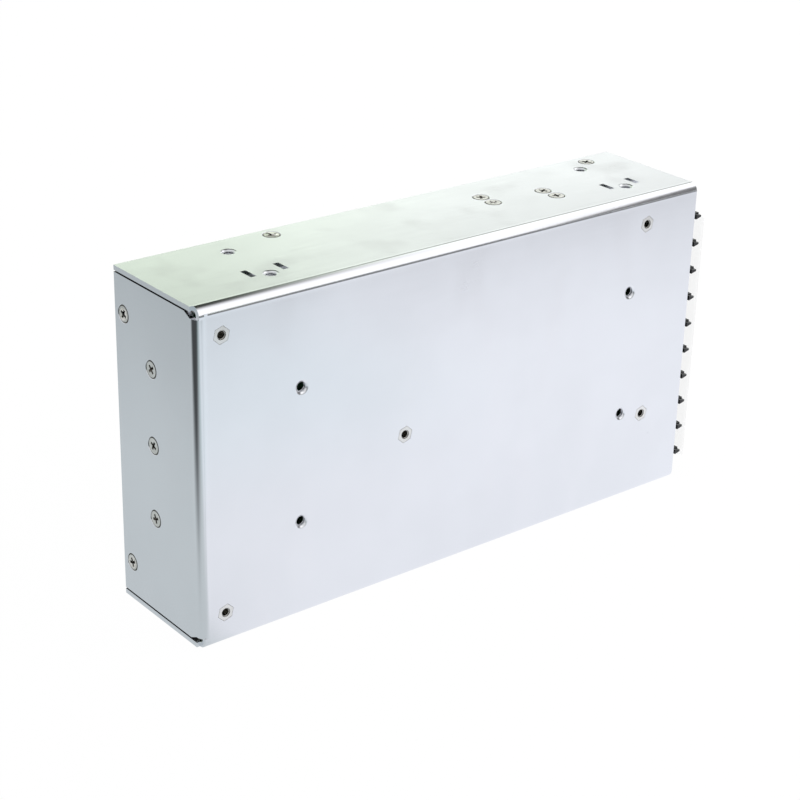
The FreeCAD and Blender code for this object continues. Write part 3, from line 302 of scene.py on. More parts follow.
flapLook = {"clear": 0.6, "bend": 1.3, "alpha": 0.12, "colour": (0.97, 0.98, 0.985, 1.0),
            "drift": (0.93, 0.945, 0.955, 1.0), "driftScale": 60.0, "rough": 0.08, "roughSwing": 0.06,
            "depth": 0.05 * mm, "bump": 0.2}
filmLook = dict(flapLook, clear=0.2, bend=1.49, alpha=1.0, colour=(0.80, 0.81, 0.79, 1.0),
                drift=(0.74, 0.75, 0.73, 1.0), rough=0.3)
fuseLook = dict(flapLook, clear=0.95, bend=1.5, alpha=1.0, rough=0.03, bump=0.05)
lensLook = dict(flapLook, clear=0.5, bend=1.49, alpha=1.0, colour=(0.20, 0.72, 0.28, 1.0),
                drift=(0.14, 0.60, 0.22, 1.0), rough=0.16)


def circuitBoard(name, look):
    # solder mask over raised tracks, small plated holes and the glass weave
    finish = Finish(name, {"Coat Roughness": 0.15, "IOR": 1.5})
    bend = finish.noise(look["bendScale"], detail=1.0, rough=0.4)
    lane = (finish.axis("Z") + bend * look["trackBend"]).zigzag(look["trackPitch"])
    start, end = look["trackEdge"]
    track = lane.fade(look["trackPitch"] * start, look["trackPitch"] * end)
    copper = track.most(finish.cells(look["patchScale"], "CHEBYCHEV").fade(*look["patchEdge"]))
    dot = finish.cells(look["padScale"]).fade(*look["padEdge"])
    weave = finish.noise(look["weaveScale"], detail=2.0)
    tone = finish.blendColour(copper, look["mask"], look["overCopper"])
    tone = finish.blendColour(dot, tone, look["solder"])
    tone = finish.blendColour(weave.fade(*look["weaveFade"]) * look["weaveTone"], tone, look["weave"])
    rough = look["rough"] - dot * look["roughSwing"] + (weave - 0.5) * look["roughSwing"]
    height = copper * look["copperHeight"] + dot + weave * look["weaveHeight"]
    return finish.set(colour=tone, rough=rough, metal=dot, coat=look["coat"] - dot * look["coat"],
                      normal=finish.bump(height, look["depth"], look["bump"]))


boardLook = {
    "mask": (0.022, 0.085, 0.042, 1.0), "overCopper": (0.04, 0.14, 0.065, 1.0),
    "solder": (0.74, 0.74, 0.75, 1.0),
    "trackPitch": 1.6 * mm, "trackBend": 2.6 * mm, "trackEdge": (0.46, 0.54), "bendScale": 90.0,
    "patchScale": 110.0, "patchEdge": (0.30, 0.34), "padScale": 240.0, "padEdge": (0.16, 0.128),
    "weave": (0.0132, 0.051, 0.0252, 1.0), "weaveScale": 1500.0, "weaveFade": (0.55, 0.8), "weaveTone": 0.35,
    "rough": 0.36, "roughSwing": 0.1, "coat": 0.5,
    "copperHeight": 0.6, "weaveHeight": 0.2, "depth": 0.06 * mm, "bump": 0.6,
}


def enamelledWire(name, look):
    # copper under amber enamel, a little uneven along the wire
    finish = Finish(name, {"Coat Roughness": 0.1, "Coat IOR": 1.6})
    drift = finish.noise(look["driftScale"])
    scuff = finish.noise(look["scuffScale"], rough=0.65).fade(*look["scuffFade"])
    tone = finish.blendSoft(drift, look["colour"], look["drift"])
    tone = finish.blendColour(scuff * look["scuffTone"], tone, look["scuff"])
    return finish.set(colour=tone, rough=look["rough"] + scuff * look["scuffRough"],
                      metal=look["metal"] - scuff * look["scuffMetal"],
                      coat=look["coat"] - scuff * look["scuffCoat"],
                      normal=finish.bump(drift, look["depth"], look["bump"]))


wireLook = {"colour": (0.66, 0.22, 0.075, 1.0), "drift": (0.54, 0.16, 0.05, 1.0), "driftScale": 260.0,
            "rough": 0.28, "metal": 0.85, "coat": 0.8, "depth": 0.05 * mm, "bump": 0.2,
            "scuff": (0.72, 0.34, 0.16, 1.0), "scuffScale": 420.0, "scuffFade": (0.62, 0.8),
            "scuffTone": 0.5, "scuffRough": 0.2, "scuffMetal": 0.3, "scuffCoat": 0.4}


def woundTape(name, look):
    # tape in layers: lap lines up the height, glossy with small wrinkles
    finish = Finish(name, {"Coat Roughness": 0.08, "IOR": 1.55})
    wrinkle = finish.noise(look["wrinkleScale"], rough=0.6, stretch=look["wrinkleStretch"])
    lap = (finish.axis("Y") + wrinkle * look["lapDrift"]).zigzag(look["lapPitch"])
    edge = lap.fade(look["lapPitch"] * look["lapEdge"], 0.0)
    tone = finish.blendColour(edge * look["edgeTone"], look["colour"], look["edge"])
    fold = wrinkle.fade(*look["wrinkleFade"]) * look["wrinkleTone"]
    tone = finish.blendColour(fold, tone, shade(look["colour"], look["wrinkleShade"]))
    height = wrinkle * look["wrinkleHeight"] - edge
    return finish.set(colour=tone, rough=look["rough"] + wrinkle * look["roughSwing"], coat=look["coat"],
                      normal=finish.bump(height, look["depth"], look["bump"]))


tapeLook = {"colour": (0.80, 0.60, 0.07, 1.0), "edge": (0.46, 0.31, 0.03, 1.0), "edgeTone": 0.6,
            "rough": 0.24, "roughSwing": 0.14, "coat": 0.35,
            "lapPitch": 3.1 * mm, "lapDrift": 0.3 * mm, "lapEdge": 0.16,
            "wrinkleScale": 240.0, "wrinkleStretch": (0.4, 1.0, 0.4), "wrinkleFade": (0.35, 0.75),
            "wrinkleTone": 0.5, "wrinkleShade": 0.82, "wrinkleHeight": 0.7, "depth": 0.08 * mm, "bump": 0.5}


def sleevedCan(name, look, tops):
    # shrink sleeve with a turned-over rim and a bare scored end on top of each can
    finish = Finish(name, {"Coat Roughness": 0.12, "IOR": 1.5})
    drift = finish.noise(look["driftScale"])
    brushed = finish.noise(look["brushScale"], detail=2.0)
    height, rim = finish.axis("Y"), look["rim"]
    levels = [(height - (top - rim)).above(0.0) * (top + rim - height).above(0.0) for top in tops]
    bare = levels[0]
    for level in levels[1:]:
        bare = bare.most(level)
    tone = finish.blendSoft(drift, look["sleeve"], shade(look["sleeve"], look["sleeveTone"]))
    end = finish.blendSoft(brushed, look["end"], shade(look["end"], look["endTone"]))
    rough = look["rough"] + bare * look["roughSwing"] + (drift - 0.5) * look["roughSwing"]
    return finish.set(colour=finish.blendColour(bare, tone, end), metal=bare, rough=rough,
                      coat=look["coat"] - bare * look["coat"],
                      normal=finish.bump(drift + brushed * bare, look["depth"], look["bump"]))


canLook = {"sleeve": (0.018, 0.022, 0.035, 1.0), "sleeveTone": 0.75, "end": (0.80, 0.80, 0.81, 1.0),
           "endTone": 0.88, "rim": 0.12 * mm, "rough": 0.28, "roughSwing": 0.1, "coat": 0.3,
           "driftScale": 160.0, "brushScale": 900.0, "depth": 0.05 * mm, "bump": 0.2}


def sintered(name, look):
    # pressed and sintered core: granular, a few pale scuffs at random
    finish = Finish(name, {"IOR": 1.6})
    grain = finish.noise(look["grainScale"], detail=4.0, rough=0.7)
    patch = finish.noise(look["patchScale"])
    scuff = finish.noise(look["scuffScale"], detail=4.0, rough=0.7).fade(*look["scuffFade"])
    tone = finish.blendSoft(patch, look["colour"], look["patch"])
    tone = finish.blendColour(scuff * look["scuffTone"], tone, look["scuff"])
    return finish.set(colour=tone, rough=look["rough"] + (grain - 0.5) * look["roughSwing"],
                      metal=look["metal"], normal=finish.bump(grain, look["depth"], look["bump"]))


powderLook = {"colour": (0.66, 0.55, 0.10, 1.0), "patch": (0.58, 0.47, 0.08, 1.0), "patchScale": 80.0,
              "scuff": (0.75, 0.68, 0.3, 1.0), "scuffScale": 240.0, "scuffFade": (0.64, 0.8),
              "scuffTone": 0.4, "grainScale": 900.0, "rough": 0.5, "roughSwing": 0.2, "metal": 0.0,
              "depth": 0.08 * mm, "bump": 0.35}
ferriteLook = dict(powderLook, colour=(0.045, 0.046, 0.05, 1.0), patch=(0.07, 0.07, 0.075, 1.0),
                   patchScale=90.0, scuff=(0.2, 0.2, 0.21, 1.0), scuffScale=270.0, grainScale=1200.0,
                   rough=0.55, metal=0.25, bump=0.5)


def coatedBody(name, look):
    # resistor coating: smooth enamel, a little uneven in tone
    finish = Finish(name, {"Coat Roughness": 0.15, "IOR": 1.5})
    drift = finish.noise(look["driftScale"])
    tone = finish.blendSoft(drift, look["colour"], shade(look["colour"], look["drift"]))
    return finish.set(colour=tone, rough=look["rough"] + drift * look["roughSwing"], coat=look["coat"],
                      normal=finish.bump(drift, look["depth"], look["bump"]))


resistorLook = {"colour": (0.24, 0.31, 0.38, 1.0), "drift": 0.84, "driftScale": 300.0, "rough": 0.42,
                "roughSwing": 0.1, "coat": 0.2, "depth": 0.06 * mm, "bump": 0.35}

canTops = [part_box(name)[1].y for name in ("bulk_capacitors", "output_capacitors", "small_capacitors")]
materials = {
    "chassis_aluminium": sheetMetal("chassisSheet", chassisLook),
    "cover_steel": sheetMetal("coverSheet", coverLook),
    "clear_film": clearPlastic("insulatingFilm", filmLook),
    "board_green": circuitBoard("circuitBoard", boardLook),
    "steel": plated("zincPlate", steelLook),
    "nickel": plated("nickelPlate", nickelLook),
    "silicone": moulded("siliconePad", mould((0.50, 0.52, 0.54), 0.7, 0.4)),
    "moulding": moulded("mouldingCompound", mould((0.022, 0.022, 0.025), 0.42, 0.35)),
    "spreader": plated("spreaderBlock", spreaderLook),
    "black_plastic": moulded("terminalMoulding", mould((0.016, 0.016, 0.018), 0.40, 0.3, coat=0.1)),
    "clear_plastic": clearPlastic("clearFlap", flapLook),
    "blue_plastic": moulded("trimmerHousing", mould((0.03, 0.10, 0.42), 0.34, 0.15)),
    "green_lens": clearPlastic("greenLens", lensLook),
    "powder_core": sintered("powderCore", powderLook),
    "ferrite": sintered("ferrite", ferriteLook),
    "copper_wire": enamelledWire("enamelledWire", wireLook),
    "yellow_tape": woundTape("windingTape", tapeLook),
    "can_sleeve": sleevedCan("sleevedCan", canLook, canTops),
    "grey_box": moulded("greyBox", mould((0.46, 0.47, 0.48), 0.34, 0.12, coat=0.2)),
    "red_box": moulded("redEpoxy", mould((0.42, 0.035, 0.02), 0.24, 0.2, coat=0.4, textureScale=500.0)),
    "blue_coating": moulded("blueEpoxy", mould((0.03, 0.12, 0.46), 0.22, 0.3, coat=0.5, textureScale=400.0)),
    "green_coating": moulded("greenCoating", mould((0.05, 0.20, 0.12), 0.5, 0.4, textureScale=600.0)),
    "fuse_glass": clearPlastic("fuseGlass", fuseLook),
    "white_box": moulded("whiteMoulding", mould((0.80, 0.80, 0.78), 0.4, 0.15, soft=0.1)),
    "resistor_body": coatedBody("resistorEnamel", resistorLook),
}
ownFinish = {"cover_screws": plated("coverScrews", sunkScrewLook),
             "device_screws": plated("deviceScrews", sunkScrewLook),
             "board_standoffs": plated("standoffs", standoffLook)}
slotOf = {entry["node"]: entry["material_slot"] for entry in frame["record"]["subparts"]}
bodyOf = {name: body for body, names in frame["record"]["behaviour"]["bodies"].items() for name in names}
print("finishes made:", len(materials))


# Shapes

joinDistance = 0.001 * mm
flatAngle = math.radians(0.4)


def joinedCopy(node):
    # the node's mesh with its loose triangles joined
    mesh = bmesh.new()
    mesh.from_mesh(frame["nodes"][node].data)
    bmesh.ops.remove_doubles(mesh, verts=mesh.verts, dist=joinDistance)
    return mesh


def islands(node):
    # lowest and highest corner of each separate solid in a node
    mesh = joinedCopy(node)
    left = set(mesh.verts)
    boxes = []
    while left:
        stack, found = [left.pop()], []
        while stack:
            vertex = stack.pop()
            found.append(vertex.co.copy())
            for edge in vertex.link_edges:
                other = edge.other_vert(vertex)
                if other in left:
                    left.remove(other)
                    stack.append(other)
        boxes.append((Vector(min(p[i] for p in found) for i in range(3)),
                      Vector(max(p[i] for p in found) for i in range(3))))
    mesh.free()
    return sorted(boxes, key=lambda box: tuple(round(value, 5) for value in box[0]))


def newObject(name, data):
    made = bpy.data.objects.new(name, data)
    bpy.context.scene.collection.objects.link(made)
    return made


def baked(thing, name):
    # the object's evaluated result as a plain mesh object
    bpy.context.view_layer.update()
    graph = bpy.context.evaluated_depsgraph_get()
    data = bpy.data.meshes.new_from_object(thing.evaluated_get(graph), depsgraph=graph)
    made = newObject(name, data)
    bpy.data.objects.remove(thing)
    return made


edgeLook = {"width": 0.12 * mm, "sharpAngle": math.radians(34.0), "segments": 2}


def softenEdges(thing, width, sharpAngle):
    bevel = thing.modifiers.new("edgeRadius", "BEVEL")
    bevel.width = width
    bevel.segments = edgeLook["segments"]
    bevel.limit_method = "ANGLE"
    bevel.angle_limit = sharpAngle
    bevel.use_clamp_overlap = True
    level = thing.modifiers.new("flatFaces", "WEIGHTED_NORMAL")
    level.mode = "FACE_AREA"
    level.weight = 100
    level.keep_sharp = True


def settle(thing, node, slotName):
    # give a finished piece its material and its body, and hide the node it stands for
    thing.data.materials.clear()
    thing.data.materials.append(ownFinish.get(node, materials[slotName]))
    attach(thing, bodyOf[node])
    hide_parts(node)


edgeWidths = {
    "base_chassis": 0.2 * mm, "mesh_cover": 0.10 * mm, "board_standoffs": 0.3 * mm,
    "terminal_block": 0.22 * mm, "terminal_cover": 0.22 * mm, "transformer_core": 0.3 * mm,
    "transformer_winding": 0.4 * mm, "auxiliary_transformer_winding": 0.4 * mm, "bulk_capacitors": 0.5 * mm,
    "output_capacitors": 0.35 * mm, "small_capacitors": 0.3 * mm, "line_capacitors": 0.4 * mm,
    "film_capacitors": 0.5 * mm, "safety_capacitors": 0.9 * mm, "surge_varistor": 1.1 * mm,
    "inrush_thermistor": 1.2 * mm, "power_resistors": 0.5 * mm, "heat_spreaders": 0.25 * mm,
    "insulating_sheet": 0.05 * mm,
}


finLook = {"drop": 1.5 * mm, "reach": 2.6 * mm, "corner": 0.4 * mm, "into": 0.3 * mm, "tip": 0.3}


def finFeet(mesh, look):
    # each barrier of the terminal block ends in a foot below the board's level
    low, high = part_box("terminal_block")
    near = 0.01 * mm
    ends = [v.co for v in mesh.verts if v.co.x > high.x - near and v.co.y < low.y + near]
    fronts = sorted({round(place.z, 6) for place in ends})
    corner, back = high.x - look["corner"], high.x - look["reach"]
    foot, root = low.y - look["drop"], low.y + look["into"]
    tip = look["tip"]
    outline = [(high.x, root, tip), (back, root, 1.0), (back, foot, 1.0), (corner, foot, tip),
               (high.x, foot + look["corner"], tip)]
    for bottom, top in zip(fronts[::2], fronts[1::2]):
        middle, half = (bottom + top) / 2.0, (top - bottom) / 2.0
        rings = [[mesh.verts.new((x, y, middle + side * half * share)) for x, y, share in outline]
                 for side in (-1.0, 1.0)]
        made = [mesh.faces.new(rings[0]), mesh.faces.new(rings[1][::-1])]
        for i in range(len(outline)):
            j = (i + 1) % len(outline)
            made.append(mesh.faces.new((rings[0][i], rings[1][i], rings[1][j], rings[0][j])))
        bmesh.ops.recalc_face_normals(mesh, faces=made)


def dressed(node):
    mesh = joinedCopy(node)
    bmesh.ops.dissolve_limit(mesh, angle_limit=flatAngle, verts=mesh.verts, edges=mesh.edges)
    if node == "terminal_block":
        finFeet(mesh, finLook)
    for face in mesh.faces:
        face.smooth = True
    data = bpy.data.meshes.new(node)
    mesh.to_mesh(data)
    mesh.free()
    thing = newObject("raw", data)
    softenEdges(thing, edgeWidths.get(node, edgeLook["width"]), edgeLook["sharpAngle"])
    settle(baked(thing, "look_" + node), node, slotOf[node])


# Geometry trees

class Builder(Nodes):  # a geometry tree with named inputs, run as a modifier
    def __init__(self, name, inputs):
        tree = bpy.data.node_groups.new(name, "GeometryNodeTree")
        super().__init__(tree)
        tree.interface.new_socket("Geometry", in_out="INPUT", socket_type="NodeSocketGeometry")
        tree.interface.new_socket("Geometry", in_out="OUTPUT", socket_type="NodeSocketGeometry")
        self.keys = {}
        for label, value in inputs.items():
            made = tree.interface.new_socket(label, in_out="INPUT", socket_type="NodeSocketFloat")
            made.default_value = value
            self.keys[label] = made.identifier
        self.given = tree.nodes.new("NodeGroupInput")
        self.result = tree.nodes.new("NodeGroupOutput")

    def take(self, label):
        return Flow(self, self.given.outputs[label])

    def close(self, geometry, material):
        real = self.node("GeometryNodeRealizeInstances", {}, {0: geometry})
        painted = self.node("GeometryNodeSetMaterial", {}, {"Geometry": real, "Material": material})
        self.tree.links.new(painted.socket, self.result.inputs[0])

    def moved(self, geometry, x=0.0, z=0.0):
        shift = self.vector(x, 0.0, z)
        return self.node("GeometryNodeTransform", {}, {"Geometry": geometry, "Translation": shift})

    def circle(self, radius, sides):
        return self.node("GeometryNodeCurvePrimitiveCircle", {"mode": "RADIUS"},
                         {"Resolution": sides, "Radius": radius})

    def swept(self, curve, section):
        return self.node("GeometryNodeCurveToMesh", {}, {"Curve": curve, "Profile Curve": section})

    def smooth(self, geometry):
        return self.node("GeometryNodeSetShadeSmooth", {}, {"Geometry": geometry, "Shade Smooth": True})

    def cone(self, top, bottom, depth, sides):
        return self.node("GeometryNodeMeshCone", {}, {"Vertices": sides, "Radius Top": top,
                                                      "Radius Bottom": bottom, "Depth": depth})

    def cylinder(self, radius, depth, sides):
        return self.node("GeometryNodeMeshCylinder", {}, {"Vertices": sides, "Radius": radius,
                                                          "Depth": depth})

    def combine(self, operation, inputs):  # the manifold solver leaves no loose points behind
        return self.node("GeometryNodeMeshBoolean", {"operation": operation, "solver": "MANIFOLD"}, inputs)

    def copies(self, item, turn):
        return self.node("GeometryNodeInstanceOnPoints", {},
                         {"Points": self.take("Geometry"), "Instance": item, "Rotation": turn})

    def spin(self, axis):
        turn = self.attribute("turn", "FLOAT")
        return self.node("FunctionNodeAxisAngleToRotation", {}, {"Axis": axis, "Angle": turn})

    def attribute(self, name, kind):
        return self.node("GeometryNodeInputNamedAttribute", {"data_type": kind}, {"Name": name})

    def run(self, thing, values):
        modifier = thing.modifiers.new(self.tree.name, "NODES")
        modifier.node_group = self.tree
        for label, value in values.items():
            modifier[self.keys[label]] = value
        return thing


def pointCloud(name, places, facings, turns):
    # one vertex for each place, with the way it faces and its turn
    data = bpy.data.meshes.new(name)
    data.from_pydata([tuple(place) for place in places], [], [])
    data.attributes.new("facing", "FLOAT_VECTOR", "POINT")
    data.attributes.new("turn", "FLOAT", "POINT")
    for i, (direction, angle) in enumerate(zip(facings, turns)):
        data.attributes["facing"].data[i].vector = direction
        data.attributes["turn"].data[i].value = angle
    return newObject(name, data)


def spread(builder, item):
    # copies of an item on every point, its own +Z turned to the point's facing
    aim = builder.node("FunctionNodeAlignRotationToVector", {"axis": "Z"},
                       {"Vector": builder.attribute("facing", "FLOAT_VECTOR")})
    whole = builder.node("FunctionNodeRotateRotation", {"rotation_space": "LOCAL"},
                         {"Rotation": aim, "Rotate By": builder.spin((0.0, 0.0, 1.0))})
    return builder.copies(item, whole)


print("geometry helpers ready")


# Screws: countersunk in the case walls, raised on the terminals, the board and the rectifiers

screwShape = {"headSides": 48, "shankSides": 32, "landSlope": 3.4, "crown": 0.74, "recessFoot": 0.45}
flatScrewLook = {"headRadius": 2.75 * mm, "shankRadius": 1.3 * mm, "headHeight": 1.25 * mm, "rim": 0.12 * mm,
                 "sink": 0.02 * mm, "recessReach": 1.95 * mm, "recessWidth": 1.1 * mm,
                 "recessDepth": 1.15 * mm, "edge": 0.07 * mm, "edgeAngle": math.radians(15.0)}
panScrewLook = dict(flatScrewLook, headRadius=2.7 * mm, headHeight=2.0 * mm, rim=0.75 * mm,
                    recessReach=1.6 * mm, recessWidth=0.85 * mm)
terminalScrewLook = dict(flatScrewLook, headRadius=3.28 * mm, shankRadius=1.95 * mm, headHeight=2.6 * mm,
                         rim=0.6 * mm, recessReach=1.9 * mm, recessWidth=0.8 * mm, recessDepth=1.4 * mm)


def tapered(builder, x, y, z, share):
    # a block whose lower end is smaller, centred on the origin
    block = builder.node("GeometryNodeMeshCube", {}, {"Size": builder.vector(x, y, z)})
    across, along, up = builder.split(builder.node("GeometryNodeInputPosition"))
    shrink = up.fade(z * -0.5, z * 0.5, share, 1.0)
    spot = builder.vector(across * shrink, along * shrink, up)
    return builder.node("GeometryNodeSetPosition", {}, {"Geometry": block, "Position": spot})


def crossCut(builder):
    # a driver's cross, half above the surface at the origin
    reach, width, depth = (builder.take(label) for label in ("Recess reach", "Recess width", "Recess depth"))
    foot = screwShape["recessFoot"]
    arms = [tapered(builder, reach * 2.0, width, depth * 2.0, foot),
            tapered(builder, width, reach * 2.0, depth * 2.0, foot)]
    return builder.combine("UNION", {"Mesh 2": arms})


def screwBuilder(name, sizes, flat):
    # a screw with its head at the origin, shank towards -Z: countersunk, or raised above the origin
    builder = Builder(name, sizes)
    head, shank, height = (builder.take(label) for label in ("Head radius", "Shank radius", "Head height"))
    length, rim = builder.take("Length"), builder.take("Rim")
    sides = screwShape["headSides"]
    if flat:
        land = builder.cone(head - rim * screwShape["landSlope"], head, rim, sides)
        under = builder.cone(head, shank, height - rim, sides)
        solids = [builder.moved(land, z=rim * -1.0), builder.moved(under, z=height * -1.0)]
        cross = crossCut(builder)
    else:
        base = builder.cylinder(head, height - rim, sides)
        crown = builder.cone(head * screwShape["crown"], head, rim, sides)
        solids = [builder.moved(base, z=(height - rim) * 0.5), builder.moved(crown, z=height - rim)]
        cross = builder.moved(crossCut(builder), z=height)
    stem = builder.cylinder(shank, length, screwShape["shankSides"])
    solids.append(builder.moved(stem, z=length * -0.5))
    solid = builder.combine("UNION", {"Mesh 2": solids})
    item = builder.combine("DIFFERENCE", {"Mesh 1": solid, "Mesh 2": cross})
    return builder, spread(builder, builder.smooth(item))


def screwSizes(look, length):
    return {"Head radius": look["headRadius"], "Shank radius": look["shankRadius"],
            "Head height": look["headHeight"], "Length": length, "Rim": look["rim"],
            "Recess reach": look["recessReach"], "Recess width": look["recessWidth"],
            "Recess depth": look["recessDepth"]}


# how far each screw's cross is turned, in radians
recessTurns = (0.35, 1.1, 0.72, 0.1, 0.95, 0.5, 1.3, 0.22, 0.85, 0.6, 0.05)


def screws(node, look, flat, found):
    # one screw for each place, facing and length found, all as long as the shortest
    places, facings, lengths = zip(*found)
    sizes = screwSizes(look, min(lengths))
    builder, geometry = screwBuilder(node + "_tree", sizes, flat)
    builder.close(geometry, ownFinish.get(node, materials[slotOf[node]]))
    cloud = pointCloud(node + "_places", places, facings, recessTurns[:len(found)])
    builder.run(cloud, sizes)
    softenEdges(cloud, look["edge"], look["edgeAngle"])
    settle(baked(cloud, "look_" + node), node, slotOf[node])


def wallScrew(low, high):
    # where a countersunk screw's head is flush with a wall, the way it faces and its length
    middle = (low + high) / 2.0
    near = 0.3 * mm
    if high.z > caseHigh.z - near:
        return Vector((middle.x, middle.y, caseHigh.z)), Vector((0.0, 0.0, 1.0)), high.z - low.z
    if low.z < caseLow.z + near:
        return Vector((middle.x, middle.y, caseLow.z)), Vector((0.0, 0.0, -1.0)), high.z - low.z
    return Vector((caseLow.x, middle.y, middle.z)), Vector((-1.0, 0.0, 0.0)), high.x - low.x


def uprightScrew(low, high, head):
    # the same for a raised head that faces up from the board
    place = Vector(((low.x + high.x) / 2.0, high.y - head, (low.z + high.z) / 2.0))
    return place, (0.0, 1.0, 0.0), high.y - low.y - head


def spreaderScrew(low, high, head):
    # the same for a raised head on a heat spreader
    place = Vector(((low.x + high.x) / 2.0, (low.y + high.y) / 2.0, low.z + head))
    return place, (0.0, 0.0, -1.0), high.z - low.z - head


for node in ("cover_screws", "device_screws"):
    found = [wallScrew(*box) for box in islands(node)]
    sunk = [(place - facing * flatScrewLook["sink"], facing, length) for place, facing, length in found]
    screws(node, flatScrewLook, True, sunk)

boardScrews = []
even, headWidth = 0.05 * mm, 5.5 * mm  # tell a screw along Z from one that stands up
for low, high in islands("inner_screws"):
    across = high.z - low.z > high.x - low.x + even or high.y - low.y < headWidth
    seat = spreaderScrew if across else uprightScrew
    boardScrews.append(seat(low, high, panScrewLook["headHeight"]))
screws("inner_screws", panScrewLook, False, boardScrews)
terminalHead = terminalScrewLook["headHeight"]
screws("terminal_screws", terminalScrewLook, False,
       [uprightScrew(low, high, terminalHead) for low, high in islands("terminal_screws")])
print("screws made")


# Threads: sharp rings in each tapped hole and each standoff's bore, down from the mouth

holeThreadLook = {"outer": 1.72 * mm, "inner": 1.42 * mm, "pitch": 0.7 * mm, "first": 0.6 * mm, "rings": 2,
                  "sides": 28, "ridgeSides": 4}
boreThreadLook = dict(holeThreadLook, outer=1.40 * mm, inner=1.12 * mm, pitch=0.5 * mm, first=0.35 * mm,
                      rings=1)


def threads(name, holes, look, slotName):
    sizes = {"Outer radius": look["outer"], "Inner radius": look["inner"]}
    builder = Builder(name, sizes)
    outer, inner = (builder.take(label) for label in sizes)
    ring = builder.circle((outer + inner) * 0.5, look["sides"])
    ridge = builder.circle((outer - inner) * 0.5, look["ridgeSides"])
    builder.close(spread(builder, builder.swept(ring, ridge)), materials[slotName])
    places, facings = [], []
    for mouth, facing in holes:
        for i in range(look["rings"]):
            places.append(mouth - facing * (look["first"] + look["pitch"] * i))
            facings.append(facing)
    cloud = pointCloud(name + "_places", places, facings, [0.0] * len(places))
    rings = baked(builder.run(cloud, sizes), name)
    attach(rings, bodyOf["base_chassis"])


tapped = []
for mount in frame["record"]["mounts"]:
    if mount["kind"] == "bolt_pattern":
        middle, facing = Vector(mount["pos_m"]), Vector(mount["axis"])
        across = Vector((0.0, 0.0, 1.0)) if facing.y else Vector((0.0, 1.0, 0.0))
        for i in (-0.5, 0.5):
            for j in (-0.5, 0.5):
                shift = Vector((mount["dims"]["spacing_x_mm"] * i * mm, 0.0, 0.0))
                shift += across * mount["dims"]["spacing_y_mm"] * j * mm
                tapped.append((middle + shift, facing))
threads("wall_threads", tapped, holeThreadLook, "chassis_aluminium")
bores = [(Vector(((low.x + high.x) / 2, low.y, (low.z + high.z) / 2)), Vector((0.0, -1.0, 0.0)))
         for low, high in islands("board_standoffs")]
threads("standoff_threads", bores, boreThreadLook, slotOf["board_standoffs"])
print("threads made:", len(tapped) + len(bores))


# Wound chokes: a closed rounded turn of wire, copied around the ring

windingLook = {"clearance": 0.12 * mm, "cornerRadius": 0.9 * mm, "cornerSteps": 4, "wireSides": 10,
               "lean": 0.05}
windings = {
    "boost_inductor": {"wire": 1.25 * mm, "turns": 31, "spans": ((110.0, 320.0),)},
    "output_choke": {"wire": 1.35 * mm, "turns": 27, "spans": ((-70.0, 320.0),)},
    "line_choke": {"wire": 1.1 * mm, "turns": 16, "spans": ((-75.0, 140.0), (115.0, 140.0))},
}


def turnBuilder(name, sizes):
    # turns around a ring that stands on the Y axis at the origin
    builder = Builder(name, sizes)
    inner, outer, height = (builder.take(label) for label in ("Inner radius", "Outer radius", "Height"))
    wire, corner = builder.take("Wire radius"), builder.take("Corner radius")
    loop = builder.node("GeometryNodeCurvePrimitiveQuadrilateral", {},
                        {"Width": outer - inner + wire * 2.0, "Height": height + wire * 2.0})
    rounded = builder.node("GeometryNodeFilletCurve", {"mode": "POLY"},
                           {"Curve": loop, "Count": windingLook["cornerSteps"], "Radius": corner,
                            "Limit Radius": True})
    turn = builder.swept(rounded, builder.circle(wire, windingLook["wireSides"]))
    turn = builder.moved(turn, x=(inner + outer) * 0.5)
    lean = builder.vector(x=builder.take("Lean"))
    turn = builder.node("GeometryNodeTransform", {}, {"Geometry": turn, "Rotation": lean})
    return builder, builder.copies(builder.smooth(turn), builder.spin((0.0, 1.0, 0.0)))


def ringSizes(name):
    # inner and outer radius, height and centre of a ring core, read from its node
    low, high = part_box(name + "_core")
    centre = (low + high) / 2.0
    vertices = frame["nodes"][name + "_core"].data.vertices
    inner = min(math.hypot(v.co.x - centre.x, v.co.z - centre.z) for v in vertices)
    return inner, (high.x - low.x) / 2.0, high.y - low.y, centre


for name, look in windings.items():
    inner, outer, height, centre = ringSizes(name)
    gap = windingLook["clearance"]
    sizes = {"Inner radius": inner - gap, "Outer radius": outer + gap, "Height": height + 2 * gap,
             "Wire radius": look["wire"] / 2.0, "Corner radius": windingLook["cornerRadius"],
             "Lean": windingLook["lean"]}
    turns = []
    for start, sweep in look["spans"]:
        turns += [math.radians(start + sweep * (i + 0.5) / look["turns"]) for i in range(look["turns"])]
    builder, geometry = turnBuilder(name + "_turns", sizes)
    builder.close(geometry, materials["copper_wire"])
    cloud = pointCloud(name + "_places", [centre] * len(turns), [(0.0, 1.0, 0.0)] * len(turns), turns)
    builder.run(cloud, sizes)
    settle(baked(cloud, "look_" + name + "_winding"), name + "_winding", "copper_wire")
print("windings made")


# Everything else keeps its own solid, with worked edges

made = {"cover_screws", "device_screws", "inner_screws", "terminal_screws"}
made |= {name + "_winding" for name in windings}
for node in frame["nodes"]:
    if node not in made:
        dressed(node)
print("pieces dressed:", len(frame["nodes"]) - len(made))


# Studio

